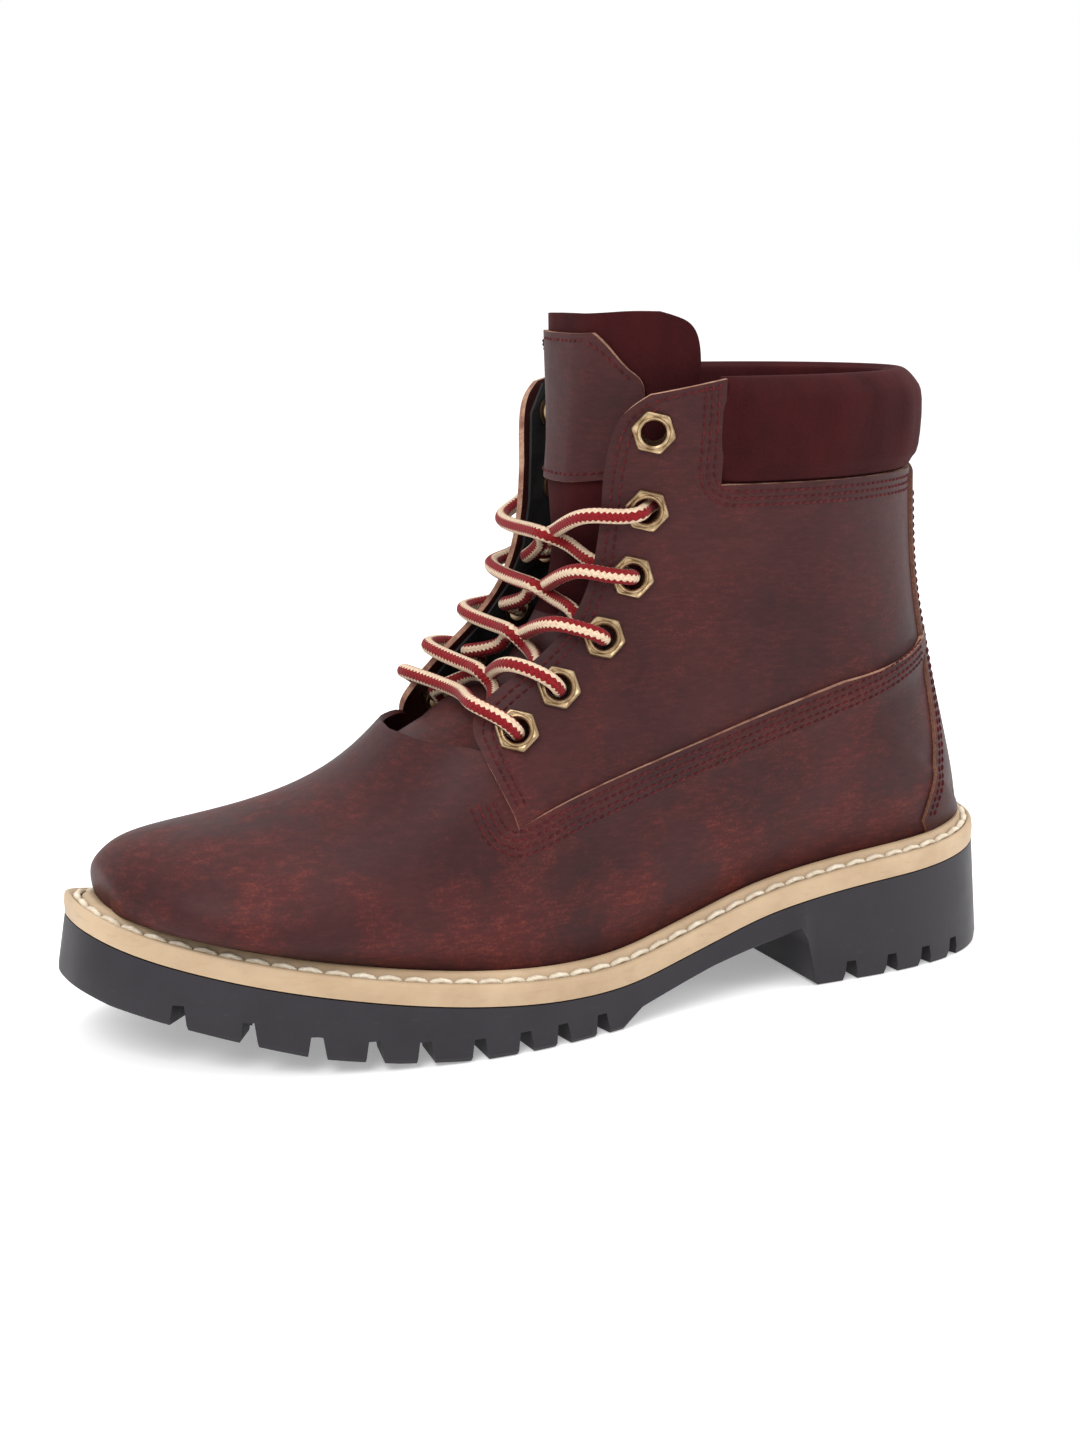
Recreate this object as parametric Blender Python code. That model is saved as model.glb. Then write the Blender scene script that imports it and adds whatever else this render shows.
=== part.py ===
"""A left ankle boot: lugged rubber sole, stitched welt, leather upper, padded collar and lace.

The boot stands on z = 0 with its toe toward -X and its heel toward +X. The outer (lateral)
side is -Y and the inner (medial) side is +Y. Lengths in the design tables are millimetres.

The upper is laid out on one surface, the last. A spot on it is (t, v): t runs from the toe
back to the heel and then up the back line, and v runs from -1 on the lateral edge over the
ridge line (0) to +1 on the medial edge. Leather pieces are closed shells between two depths
below that surface.
"""
import math

import bmesh
import bpy
import numpy as np
from mathutils import Matrix

MM = 0.001

# ---- driving dimensions (mm) ----
GAP = 0.3
LEATHER = 1.8
LINING_DEPTH = 2.7
LINING_THICKNESS = 0.8
STIFFENER_DEPTH = 3.3
STIFFENER_THICKNESS = 0.9
STIFFENED_LINING_DEPTH = 5.2
TONGUE_DEPTH = 9.9
TONGUE_THICKNESS = 2.6
PATCH_RAISE = 1.8
PATCH_THICKNESS = 1.0
TONGUE_SINK = 11.0
TONGUE_TOP_RISE = 6.5
WING_TUCK = 1.6
THROAT_DEPTH = 2.6
THROAT_RAMP = 19.0
FEATHER_RISE = 7.1
WELT_SHELF = 6.2
WELT_LIP = 7.6
SOLE_FLARE_X = 1.016
SOLE_FLARE_Y = 1.04
LUG_DEPTH = 6.0
LACE_DIAMETER = 4.4
AGLET_DIAMETER = 4.8
AGLET_LENGTH = 22.0
TAIL_SPACING = 7.0
EYELET_FLATS = 11.3
EYELET_BORE = 7.2
HINGE_HEIGHT = 180.0
SEAM_GAP = 0.7

# the middle of the boot's own box in the design tables, which is the part's origin
CENTRE = np.array([1.6, 0.7, 0.0])

# ---- sole plan: (x, y) from the toe tip to the heel's back ----
LATERAL_PLAN = [(-146, 9), (-145, -1), (-139.5, -12), (-123, -27), (-95, -43), (-60, -51), (-25, -51.5),
                (8, -45.5), (48, -39.5), (90, -39), (115, -36), (134, -27.5), (145, -14), (149, 0)]
MEDIAL_PLAN = [(-146, 9), (-145, 17), (-138, 27), (-122, 38.5), (-99, 49.5), (-68, 53.5), (-38, 51),
               (-5, 42.5), (40, 34.5), (80, 35.5), (112, 34.5), (133, 27), (145, 14), (149, 0)]
# height of the rubber's top edge, where the welt lies on it: (x, z)
SOLE_TOP = [(-149, 38), (-139, 33.5), (-122, 28.3), (-104, 24.5), (-85, 21), (-60, 16.7), (-37, 13.7),
            (-14, 12), (5, 12.6), (22, 16), (37, 19.8), (51, 23.6), (66, 26.6), (80, 28.6), (95, 30),
            (112, 31), (130, 32.5), (149, 34.5)]
# the rubber's underside: toe spring, flat ball, raised waist and flat heel: (x, z)
SOLE_BOTTOM = [(-150, 21), (-140, 17), (-129, 14), (-110, 9.5), (-91, 5), (-70, 2), (-52, 0.4), (-45, 0),
               (0, 0), (7, 5), (20, 8.5), (33, 12), (52, 16), (66, 18.5), (70, 0), (152, 0)]
# distance from the sole's edge in to the upper: (x, inset)
FEATHER_INSET = [(-146, 8.5), (-125, 8.8), (-105, 9), (110, 9), (134, 7.5), (148, 6)]

# ---- the last, one row for each cross-section ----
# t, ridge x, ridge z, outer x, outer z, lateral half width, medial half width,
# where the section is widest (0 ridge, 1 outer), fullness at the ridge and at the outer end, ridge y
LAST = [
    (0.00, -137.0, 44.0, -136.2, None, 8.0, 8.0, 0.80, 2.0, 1.00, 8.5),
    (0.03, -137.4, 49.0, -135.4, None, 17.0, 14.0, 0.80, 2.0, 1.00, 8.5),
    (0.07, -134.6, 53.5, -132.4, None, 24.0, 20.0, 0.80, 2.0, 1.00, 8.0),
    (0.12, -127.5, 57.3, -125.0, None, 34.0, 29.0, 0.80, 2.0, 1.00, 7.0),
    (0.20, -109.0, 60.3, -108.0, None, 45.0, 41.0, 0.78, 2.0, 1.00, 5.0),
    (0.29, -86.0, 64.3, -80.0, None, 50.0, 48.0, 0.76, 2.0, 1.00, 3.0),
    (0.37, -65.5, 72.5, -52.0, None, 49.0, 50.5, 0.74, 2.0, 1.00, 1.5),
    (0.44, -50.5, 86.0, -22.0, None, 45.5, 47.0, 0.74, 2.1, 1.00, 0.5),
    (0.51, -36.0, 104.0, 10.0, None, 43.0, 43.0, 0.72, 2.3, 1.00, 0.0),
    (0.58, -23.0, 124.0, 50.0, None, 41.0, 40.0, 0.68, 2.4, 1.00, 0.0),
    (0.65, -15.0, 143.0, 92.0, None, 40.0, 39.0, 0.62, 2.5, 1.00, 0.0),
    (0.71, -12.5, 157.0, 124.0, None, 40.5, 40.0, 0.56, 2.6, 0.85, 0.0),
    (0.77, -11.5, 168.0, 143.0, None, 41.5, 41.5, 0.52, 2.6, 0.54, 0.0),
    (0.83, -11.0, 178.0, 135.5, 71.0, 43.0, 43.0, 0.50, 2.6, 0.54, 0.0),
    (0.89, -10.7, 188.0, 127.0, 101.0, 44.5, 44.5, 0.48, 2.6, 0.55, 0.0),
    (0.95, -10.5, 199.0, 121.5, 138.0, 46.0, 46.0, 0.47, 2.6, 0.55, 0.0),
    (1.00, -10.3, 214.0, 120.3, 197.0, 47.5, 47.5, 0.47, 2.6, 0.55, 0.0),
]
HEEL_T = 0.77
LATERAL = -1
MEDIAL = 1

# ---- side-view outlines of the upper's pieces: (x, z) ----
FACING_EDGE = [(-30, 63), (-33, 71), (-36, 80), (-37, 88), (-32, 95.5), (-24, 102), (-13, 111), (-4.5, 122),
               (0, 135), (2, 151), (3, 165), (6, 175.5), (12, 181)]
VAMP_TOP = [(-42, 84), (-37, 76), (-33.5, 68), (-30, 60.6), (-16, 66.8), (3, 73.1), (20, 78),
            (35, 82.3), (48, 86.1), (61, 89.8), (74, 93.6), (87, 97.3), (100, 101), (114, 105)]
BACKSTAY_EDGE = [(115, 42), (117.5, 57), (118, 68), (117, 84), (115, 104), (113.2, 126), (112, 152.5)]
QUARTER_REAR = [(114.5, 107), (113.5, 126), (112, 152)]
COLLAR_FRONT_X = 33.0
COLLAR_LOW = 156.0
COLLAR_HIGH = 185.0
EYELETS = [(-26.5, 87), (-13.5, 98.5), (0.5, 112), (9.5, 129), (13.5, 148), (13.5, 170.5)]


# ---------------------------------------------------------------- curves
def spline(knots, values):
    """Natural cubic spline through values at the knots."""
    knots = np.asarray(knots, float)
    values = np.asarray(values, float)
    flat = values.ndim == 1
    if flat:
        values = values[:, None]
    count = len(knots)
    step = np.diff(knots)
    matrix = np.eye(count)
    right = np.zeros_like(values)
    for i in range(1, count - 1):
        matrix[i, i - 1:i + 2] = step[i - 1], 2 * (step[i - 1] + step[i]), step[i]
        rise = (values[i + 1] - values[i]) / step[i] - (values[i] - values[i - 1]) / step[i - 1]
        right[i] = 6 * rise
    bend = np.linalg.solve(matrix, right)

    def at(where):
        where = np.clip(np.asarray(where, float), knots[0], knots[-1])
        i = np.clip(np.searchsorted(knots, where, side="right") - 1, 0, count - 2)
        width = step[i][..., None]
        a = (knots[i + 1] - where)[..., None] / width
        b = 1 - a
        result = a * values[i] + b * values[i + 1]
        result = result + ((a ** 3 - a) * bend[i] + (b ** 3 - b) * bend[i + 1]) * width ** 2 / 6
        return result[..., 0] if flat else result

    return at


def through(points):
    """Smooth curve through points, read from 0 at its start to 1 at its end."""
    points = np.asarray(points, float)
    gaps = np.linalg.norm(np.diff(points, axis=0), axis=1) ** 0.7
    knots = np.concatenate([[0], np.cumsum(gaps)])
    return spline(knots / knots[-1], points)


def polyline(points, count):
    """Evenly spaced points along straight runs."""
    points = np.asarray(points, float)
    length = np.concatenate([[0], np.cumsum(np.linalg.norm(np.diff(points, axis=0), axis=1))])
    where = np.linspace(0, length[-1], count)
    return np.stack([np.interp(where, length, points[:, k]) for k in range(points.shape[1])], -1)


def ease(value, low, high):
    share = np.clip((np.asarray(value, float) - low) / (high - low), 0, 1)
    return share * share * (3 - 2 * share)


# ---------------------------------------------------------------- sole plan
sole_top = spline(*zip(*SOLE_TOP))


def feather_inset(x):
    return np.interp(x, *zip(*FEATHER_INSET))


def plan_half(side, count, share=0.0, extra=0.0):
    """Half of the sole's outline, moved in by a share of the feather inset plus extra mm."""
    curve = through(LATERAL_PLAN if side == LATERAL else MEDIAL_PLAN)
    points = curve(np.linspace(0, 1, count))
    along = np.gradient(points, axis=0)
    along[0] = 0, along[0, 1]
    along[-1] = 0, along[-1, 1]
    along /= np.linalg.norm(along, axis=1)[:, None]
    inward = np.stack([-along[:, 1], along[:, 0]], 1) * -side
    return points + inward * (feather_inset(points[:, 0]) * share + extra)[:, None]


def plan_loop(count, share=0.0, extra=0.0):
    """The whole outline: toe to heel on the lateral side, then back on the medial side."""
    lateral = plan_half(LATERAL, count, share, extra)
    medial = plan_half(MEDIAL, count, share, extra)
    return np.concatenate([lateral, medial[::-1][1:-1]])


PLAN_SAMPLES = 240
FEATHER = {side: plan_half(side, PLAN_SAMPLES, 1.0) for side in (LATERAL, MEDIAL)}
EDGE = {side: plan_half(side, PLAN_SAMPLES) for side in (LATERAL, MEDIAL)}


def plan_y(x, side, extra=0.0):
    """The outline's y at x, moved in by extra mm."""
    outline = plan_half(side, PLAN_SAMPLES, 0.0, extra)
    return np.interp(x, outline[:, 0], outline[:, 1])


# ---------------------------------------------------------------- the last
def column(index, rows=LAST):
    return [row[index] for row in rows]


def feather_height(x):
    return sole_top(x) + FEATHER_RISE


ROWS_LOW = [row for row in LAST if row[0] <= HEEL_T]
ROWS_HIGH = [row for row in LAST if row[0] >= HEEL_T]
ridge_line = spline(column(0), list(zip(column(1), column(2))))
outer_x = spline(column(0, ROWS_LOW), column(3, ROWS_LOW))
back_line = spline(column(0, ROWS_HIGH),
                   [(row[3], row[4] or float(feather_height(row[3]))) for row in ROWS_HIGH])
half_width = {LATERAL: spline(column(0), column(5)), MEDIAL: spline(column(0), column(6))}
widest_at = spline(column(0), column(7))
ridge_fullness = spline(column(0), column(8))
end_fullness = spline(column(0), column(9))
ridge_y = spline(column(0), column(10))


def outer_line(t):
    x = np.minimum(outer_x(t), LAST[12][3])
    low = np.stack([x, feather_height(x)], -1)
    return np.where((t < HEEL_T)[..., None], low, back_line(t))


def last_point(t, v):
    """Points on the last at spots (t, v)."""
    t = np.asarray(t, float)
    v = np.asarray(v, float)
    share = np.abs(v)
    ridge = ridge_line(t)
    outer = outer_line(t)
    place = ridge + (outer - ridge) * share[..., None]
    centre = ridge_y(t)
    spread = np.zeros_like(share)
    for side in (LATERAL, MEDIAL):
        feather = np.interp(outer[..., 0], FEATHER[side][:, 0], FEATHER[side][:, 1])
        end = np.where(t < HEEL_T, side * (feather - centre), 0.0)
        wide = np.maximum(half_width[side](t), end + 0.5)
        widest = widest_at(t)
        rise = np.clip(1 - share / widest, 0, 1)
        fall = np.clip((share - widest) / (1 - widest), 0, 1)
        front = wide * (1 - rise ** ridge_fullness(t)) ** (1 / ridge_fullness(t))
        rear = end + (wide - end) * (1 - fall ** 2) ** end_fullness(t)
        value = np.where(share < widest, front, rear)
        spread = np.where((v < 0) == (side == LATERAL), value, spread)
    return np.stack([place[..., 0], centre + np.where(v < 0, -1, 1) * spread, place[..., 1]], -1)


def last_normal(t, v):
    """Outward directions of the last, level where the leather meets the sole."""
    t = np.asarray(t, float)
    v = np.asarray(v, float)
    side = np.where(v < 0, -1, 1)
    share = np.clip(np.abs(v), 0.002, 0.985)
    along = last_point(np.clip(t + 0.004, 0, 1), side * share)
    along = along - last_point(np.clip(t - 0.004, 0, 1), side * share)
    across = last_point(t, side * (share + 0.002)) - last_point(t, side * (share - 0.002))
    normal = np.cross(along, across) * side[..., None]
    normal[..., 1] = np.where(np.abs(v) < 0.002, 0.0, normal[..., 1])
    back = (np.abs(v) > 0.998) & (t >= HEEL_T - 1e-6)
    normal[..., 1] = np.where(back, 0.0, normal[..., 1])
    normal /= np.linalg.norm(normal, axis=-1)[..., None]
    place = last_point(t, v)
    height = place[..., 2] - feather_height(place[..., 0])
    normal[..., 2] *= ease(height, 0, 14)
    return normal / np.linalg.norm(normal, axis=-1)[..., None]


T_SCAN = np.linspace(0, 1, 801)
RIDGE_SCAN = ridge_line(T_SCAN)
OUTER_SCAN = outer_line(T_SCAN)


def spot(x, z, side=MEDIAL):
    """The spot (t, v) whose side view is (x, z)."""
    span = OUTER_SCAN - RIDGE_SCAN
    to_x = x - RIDGE_SCAN[:, 0]
    to_z = z - RIDGE_SCAN[:, 1]
    cross = span[:, 0] * to_z - span[:, 1] * to_x
    share = (to_x * span[:, 0] + to_z * span[:, 1]) / np.maximum((span ** 2).sum(1), 1e-9)
    change = np.nonzero((cross[:-1] >= 0) != (cross[1:] >= 0))[0]
    change = [i for i in change if -0.2 < share[i] < 1.2 and i > 4]
    if not change:
        i = int(np.argmin(np.abs(cross) / np.linalg.norm(span + 1e-9, axis=1)))
        return T_SCAN[i], side * float(np.clip(share[i], 0, 1))
    i = change[0]
    part = cross[i] / (cross[i] - cross[i + 1])
    t = T_SCAN[i] + part * (T_SCAN[i + 1] - T_SCAN[i])
    return t, side * float(np.clip(share[i] + part * (share[i + 1] - share[i]), 0, 1))


def spots(points, side):
    return np.array([spot(x, z, side) for x, z in points])


def between(first, second, count, crowd=1.0):
    """Grid of spots from one column of spots to another, closer together near the first
    column when crowd is above 1, and near the second when it is below 1."""
    share = np.linspace(0, 1, count) ** crowd
    return first[None] + (second - first)[None] * share[:, None, None]


def ruled(first, second, count, side):
    """Grid of spots on straight lines, in side view, from one row of points to another."""
    first = np.asarray(first, float)
    second = np.asarray(second, float)
    return np.stack([spots(first + (second - first) * share, side) for share in np.linspace(0, 1, count)])


# ---------------------------------------------------------------- mesh helpers
def material(name, colour, roughness, metallic=0.0):
    found = bpy.data.materials.get(name)
    if found:
        return found
    made = bpy.data.materials.new(name)
    made.use_nodes = True
    shader = made.node_tree.nodes["Principled BSDF"]
    shader.inputs["Base Color"].default_value = (*colour, 1)
    shader.inputs["Roughness"].default_value = roughness
    shader.inputs["Metallic"].default_value = metallic
    return made


def leather():
    return material("burgundy_leather", (0.105, 0.025, 0.022), 0.55)


def nubuck():
    return material("burgundy_nubuck", (0.13, 0.022, 0.025), 0.85)


def inner_leather():
    return material("black_lining", (0.02, 0.018, 0.018), 0.8)


def rubber():
    return material("charcoal_rubber", (0.035, 0.032, 0.037), 0.65)


def welt_rubber():
    return material("beige_welt", (0.56, 0.41, 0.26), 0.6)


def board():
    return material("tan_board", (0.5, 0.36, 0.22), 0.9)


def steel():
    return material("steel", (0.6, 0.6, 0.62), 0.35, 1.0)


def brass():
    return material("antique_brass", (0.35, 0.26, 0.17), 0.4, 1.0)


def lace_red():
    return material("red_lace", (0.35, 0.02, 0.03), 0.8)


def thread():
    return material("cream_thread", (0.8, 0.72, 0.58), 0.8)


def add_object(name, vertices, faces, look, smooth=True):
    """An object from points in millimetres, with its origin at the boot's own origin."""
    mesh = bpy.data.meshes.new(name)
    places = (np.asarray(vertices, float) - CENTRE) * MM
    mesh.from_pydata(places.tolist(), [], faces)
    mesh.update()
    made = bpy.data.objects.new(name, mesh)
    bpy.context.scene.collection.objects.link(made)
    mesh.materials.append(look)
    if smooth:
        mesh.shade_smooth()
        mesh.set_sharp_from_angle(angle=math.radians(40))
    return made


def shell(name, patches, near, far, look):
    """Closed shell over patches of spots, between the depths near and far below the last."""
    found = {}
    places = []
    normals = []
    quads = []
    for patch in patches:
        points = last_point(patch[..., 0], patch[..., 1])
        outward = last_normal(patch[..., 0], patch[..., 1])
        ids = np.zeros(patch.shape[:2], int)
        for index in np.ndindex(*ids.shape):
            key = tuple(np.round(points[index] / 0.02).astype(int))
            if key not in found:
                found[key] = len(places)
                places.append(points[index])
                normals.append(outward[index])
            ids[index] = found[key]
        for i in range(ids.shape[0] - 1):
            for j in range(ids.shape[1] - 1):
                quads.append([ids[i, j], ids[i + 1, j], ids[i + 1, j + 1], ids[i, j + 1]])
    places = np.array(places)
    normals = np.array(normals)
    top = places - normals * depth_at(near, places)
    low = places - normals * depth_at(far, places)
    faces = []
    for quad in quads:
        quad = list(dict.fromkeys(quad))
        a, b, c = places[quad[0]], places[quad[1]], places[quad[-1]]
        facing = np.dot(np.cross(b - a, c - a), normals[quad].sum(0))
        faces.append(quad if facing > 0 else quad[::-1])
    directed = {(f[k], f[(k + 1) % len(f)]) for f in faces for k in range(len(f))}
    rim = [(a, b) for a, b in directed if (b, a) not in directed]
    size = len(places)
    inner = [[i + size for i in f[::-1]] for f in faces]
    edge = [[b, a, a + size, b + size] for a, b in sorted(rim)]
    return add_object(name, np.concatenate([top, low]), faces + inner + edge, look)


def depth_at(depth, places):
    if callable(depth):
        return depth(places)[:, None]
    return depth


def lofted(name, rings, look, closed=False, smooth=True):
    """Solid through rings of equal length: capped at both ends, or joined end to start."""
    rings = np.asarray(rings, float)
    count, size = rings.shape[:2]
    faces = []
    for i in range(count if closed else count - 1):
        after = (i + 1) % count
        for j in range(size):
            beside = (j + 1) % size
            faces.append([i * size + j, i * size + beside, after * size + beside, after * size + j])
    if not closed:
        faces.append(list(range(size))[::-1])
        faces.append([(count - 1) * size + j for j in range(size)])
    made = add_object(name, rings.reshape(-1, 3), faces, look, smooth)
    point_outward(made)
    return made


def point_outward(made):
    work = bmesh.new()
    work.from_mesh(made.data)
    bmesh.ops.recalc_face_normals(work, faces=work.faces)
    if work.calc_volume(signed=True) < 0:
        bmesh.ops.reverse_faces(work, faces=work.faces)
    work.to_mesh(made.data)
    work.free()


def cut(made, cutter, name):
    modifier = made.modifiers.new(name, "BOOLEAN")
    modifier.operation = "DIFFERENCE"
    modifier.solver = "EXACT"
    modifier.object = cutter


def as_cutter(made):
    made.hide_render = True
    made.display_type = "WIRE"
    return made


def box_faces(start):
    """Faces of an eight-point block: four points below, the same four above."""
    local = [(0, 3, 2, 1), (4, 5, 6, 7), (0, 1, 5, 4), (1, 2, 6, 5), (2, 3, 7, 6), (3, 0, 4, 7)]
    return [[start + k for k in face] for face in local]


def blocks(name, corner_sets, look):
    """One object holding a separate block for each set of eight corners."""
    vertices = []
    faces = []
    for corners in corner_sets:
        faces += box_faces(len(vertices))
        vertices += list(corners)
    return add_object(name, vertices, faces, look, smooth=False)


# ---------------------------------------------------------------- sole
def sole_stations():
    """Stations along x, closer together where the plan turns at the toe and the heel."""
    toe = -145.6 + 20 * (1 - np.cos(np.linspace(0, math.pi / 2, 7)))
    middle = [-116, -104, -92, -80, -68, -56, -45, -30, -15, 0, 7, 20, 33, 46, 57, 66, 70, 82, 96, 110, 120]
    heel = 148.7 - 20 * (1 - np.cos(np.linspace(math.pi / 2, 0, 7)))
    return np.concatenate([toe, middle, heel])


def plank(name, stations, low, high, extra, look, flare=(1.0, 1.0)):
    """A solid across the sole between two heights, its edges set in by extra mm."""
    rings = []
    for x in stations:
        lateral = float(plan_y(x, LATERAL, extra))
        medial = float(plan_y(x, MEDIAL, extra))
        bottom_x = x * flare[0]
        bottom = low(bottom_x)
        rings.append([(bottom_x, lateral * flare[1], bottom), (bottom_x, medial * flare[1], bottom),
                      (x, medial, high(x)), (x, lateral, high(x))])
    return lofted(name, rings, look, smooth=False)


def underside(x):
    return float(np.interp(x, *zip(*SOLE_BOTTOM)))


def edge_frame(x, side):
    """Edge point of the flared tread and its inward direction at x."""
    edge = EDGE[side]
    i = int(np.argmin(np.abs(edge[:, 0] - x)))
    along = edge[min(i + 2, len(edge) - 1)] - edge[max(i - 2, 0)]
    along = along / np.linalg.norm(along)
    inward = np.array([-along[1], along[0]]) * -side
    point = np.array([edge[i, 0] * SOLE_FLARE_X, edge[i, 1] * SOLE_FLARE_Y])
    return point, inward, along


SIDE_GROOVES = [-123, -107, -91, -76, -61.5, -47, -33, -20, -7.5, 82, 96, 110, 123.5]
GROOVE_TOP = 3.2
GROOVE_MOUTH = 5.4
GROOVE_LENGTH = 15.0


def side_groove_blocks():
    sets = []
    for side in (LATERAL, MEDIAL):
        for x in SIDE_GROOVES:
            point, inward, along = edge_frame(x, side)
            outer = point - inward * 4
            inner = point + inward * GROOVE_LENGTH
            base = underside(point[0])
            corners = []
            for z, width in ((base - 3, GROOVE_MOUTH + 0.9), (base + LUG_DEPTH, GROOVE_TOP)):
                half = along * width / 2
                ring = [outer - half, outer + half, inner + half, inner - half]
                if side == LATERAL:
                    ring = ring[::-1]
                corners += [(p[0], p[1], z) for p in ring]
            sets.append(corners)
    return sets


CHANNELS = [(-124, -4, 8), (78, 127, 5)]
CHANNEL_INSET = 17.0
CHANNEL_WIDTH = 4.5
CHANNEL_DEPTH = 4.5


def channel_rings(side, start, end, count):
    rings = []
    for x in np.linspace(start, end, count):
        point, inward, _ = edge_frame(x, side)
        middle = point + inward * CHANNEL_INSET
        half = inward * CHANNEL_WIDTH / 2
        base = underside(middle[0])
        rings.append([(*(middle - half), base - 3), (*(middle + half), base - 3),
                      (*(middle + half), base + CHANNEL_DEPTH), (*(middle - half), base + CHANNEL_DEPTH)])
    return rings


def cross_groove_blocks():
    sets = []
    for x in (-99, -69, -40, -13.5, 103):
        low = float(plan_y(x, LATERAL)) + CHANNEL_INSET - 1
        high = float(plan_y(x, MEDIAL)) - CHANNEL_INSET + 1
        corners = []
        for z in (underside(x) - 3, underside(x) + CHANNEL_DEPTH - 0.7):
            corners += [(x - 3, low, z), (x + 3, low, z), (x + 3, high, z), (x - 3, high, z)]
        sets.append(corners)
    return sets


def make_outsole():
    sole = plank("outsole", sole_stations(), underside, lambda x: float(sole_top(x)) - GAP, 0.0, rubber(),
                 (SOLE_FLARE_X, SOLE_FLARE_Y))
    cutter = blocks("cutter_side_grooves", side_groove_blocks(), rubber())
    point_outward(cutter)
    cut(sole, as_cutter(cutter), "side_grooves")
    for side in (LATERAL, MEDIAL):
        for k, (start, end, count) in enumerate(CHANNELS):
            channel = lofted(f"cutter_channel_{side}_{k}", channel_rings(side, start, end, count), rubber(),
                             smooth=False)
            cut(sole, as_cutter(channel), f"channel_{side}_{k}")
    crossing = blocks("cutter_cross_grooves", cross_groove_blocks(), rubber())
    point_outward(crossing)
    cut(sole, as_cutter(crossing), "cross_grooves")


# profile of the welt: (share of the feather inset, extra mm inward, height)
WELT_PROFILE = [(0, 0, GAP), (0, 0, 5.7), (0, 0.9, 6.5), (0.22, 0.3, 6.4), (0.3, 0.2, 5.2), (0.5, 0, 5.2),
                (0.56, 0, 6.9), (0.64, 0, WELT_LIP), (1.0, -2.4, WELT_LIP), (1.0, -2.0, WELT_SHELF),
                (1.0, 6.2, WELT_SHELF), (1.0, 6.2, GAP)]
WELT_STATIONS = 36


def make_welt():
    loops = []
    for share, extra, height in WELT_PROFILE:
        plan = plan_loop(WELT_STATIONS, share, extra)
        loops.append(np.column_stack([plan, sole_top(plan[:, 0]) + height]))
    lofted("welt", np.stack(loops, 1), welt_rubber(), closed=True)
    seam = plan_loop(WELT_STATIONS, 0.41)
    centre = np.column_stack([seam, sole_top(seam[:, 0]) + 6.1])
    tube("welt_thread", centre, 1.1, thread(), cyclic=True, resolution=1)


def tube(name, centre, diameter, look, cyclic=False, resolution=2):
    """A round cord along points in millimetres, closed with flat ends unless cyclic."""
    curve = bpy.data.curves.new(name, "CURVE")
    curve.dimensions = "3D"
    curve.bevel_depth = diameter / 2 * MM
    curve.bevel_resolution = resolution
    curve.use_fill_caps = not cyclic
    line = curve.splines.new("POLY")
    line.points.add(len(centre) - 1)
    for point, place in zip(line.points, centre):
        point.co = (*((np.asarray(place) - CENTRE) * MM), 1)
    line.use_cyclic_u = cyclic
    line.use_smooth = True
    curve.materials.append(look)
    made = bpy.data.objects.new(name, curve)
    bpy.context.scene.collection.objects.link(made)
    return made


def strip_of_sole(name, start, end, count, half, low, high, look):
    rings = []
    for x in np.linspace(start, end, count):
        centre = (float(plan_y(x, LATERAL)) + float(plan_y(x, MEDIAL))) / 2
        z = float(sole_top(x))
        rings.append([(x, centre - half, z + low), (x, centre + half, z + low),
                      (x, centre + half, z + high), (x, centre - half, z + high)])
    lofted(name, rings, look, smooth=False)


def bottom_stack():
    """Cork filler, steel shank, insole board and footbed inside the welt."""
    def above(rise):
        return lambda x: float(sole_top(x)) + rise

    def rounded(start, end):
        turn = 1 - np.cos(np.linspace(0, math.pi / 2, 4))
        return np.concatenate([start + 14 * turn, np.linspace(start + 24, end - 24, 12), end - 14 * turn[::-1]])

    plank("cork_filler", np.linspace(-124, -26, 9), above(GAP), above(4.3), 16.5, board())
    strip_of_sole("steel_shank", -20, 96, 9, 8, GAP, 2.2, steel())
    plank("insole_board", rounded(-128.6, 132), above(4.7), above(6.7), 16.2, board())
    plank("footbed", rounded(-126.3, 129.3), above(7.6), above(11.6), 18.5, inner_leather())


# ---------------------------------------------------------------- upper
VAMP_RIDGE_T = [0.0, 0.025, 0.05, 0.08, 0.115, 0.155, 0.2, 0.245, 0.29, 0.33, 0.37, 0.405, 0.43]
VAMP_ROWS = 8
VAMP_CROWD = 1.5
# where the columns below VAMP_TOP meet the sole: the first four stay ahead of the quarter's corner
VAMP_FOOT_X = [-49, -41, -33, -25, -13, 0, 13, 27, 41, 55, 69, 83, 98, 114]


def vamp_patch(side):
    """From the feather edge up to the ridge, the throat and the long seam below the quarter."""
    top = np.array([(t, 0.0) for t in VAMP_RIDGE_T])
    lean = (1 - 0.36 / VAMP_RIDGE_T[-1]) / VAMP_RIDGE_T[-1]
    foot = np.array([(t * (1 - lean * t), side) for t in VAMP_RIDGE_T])
    front = between(top, foot, VAMP_ROWS, VAMP_CROWD)
    share = np.linspace(0, 1, VAMP_ROWS) ** VAMP_CROWD
    edge = through(BACKSTAY_EDGE)(np.linspace(0, 1, 60))
    columns = []
    for number, ((x, z), foot_x) in enumerate(zip(VAMP_TOP, VAMP_FOOT_X)):
        foot_z = float(feather_height(foot_x))
        line = np.column_stack([x + (foot_x - x) * share, z + (foot_z - z) * share])
        near = max(0.0, 1 - (len(VAMP_TOP) - 1 - number) / 3)
        bow = np.interp(line[:, 1], edge[:, 1], edge[:, 0]) - SEAM_GAP - line[:, 0]
        line[:, 0] += bow * near
        column_spots = spots(line, side)
        column_spots[-1] = column_spots[-1, 0], side
        columns.append(column_spots)
    return np.concatenate([front, np.stack(columns, 1)], 1)


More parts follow.
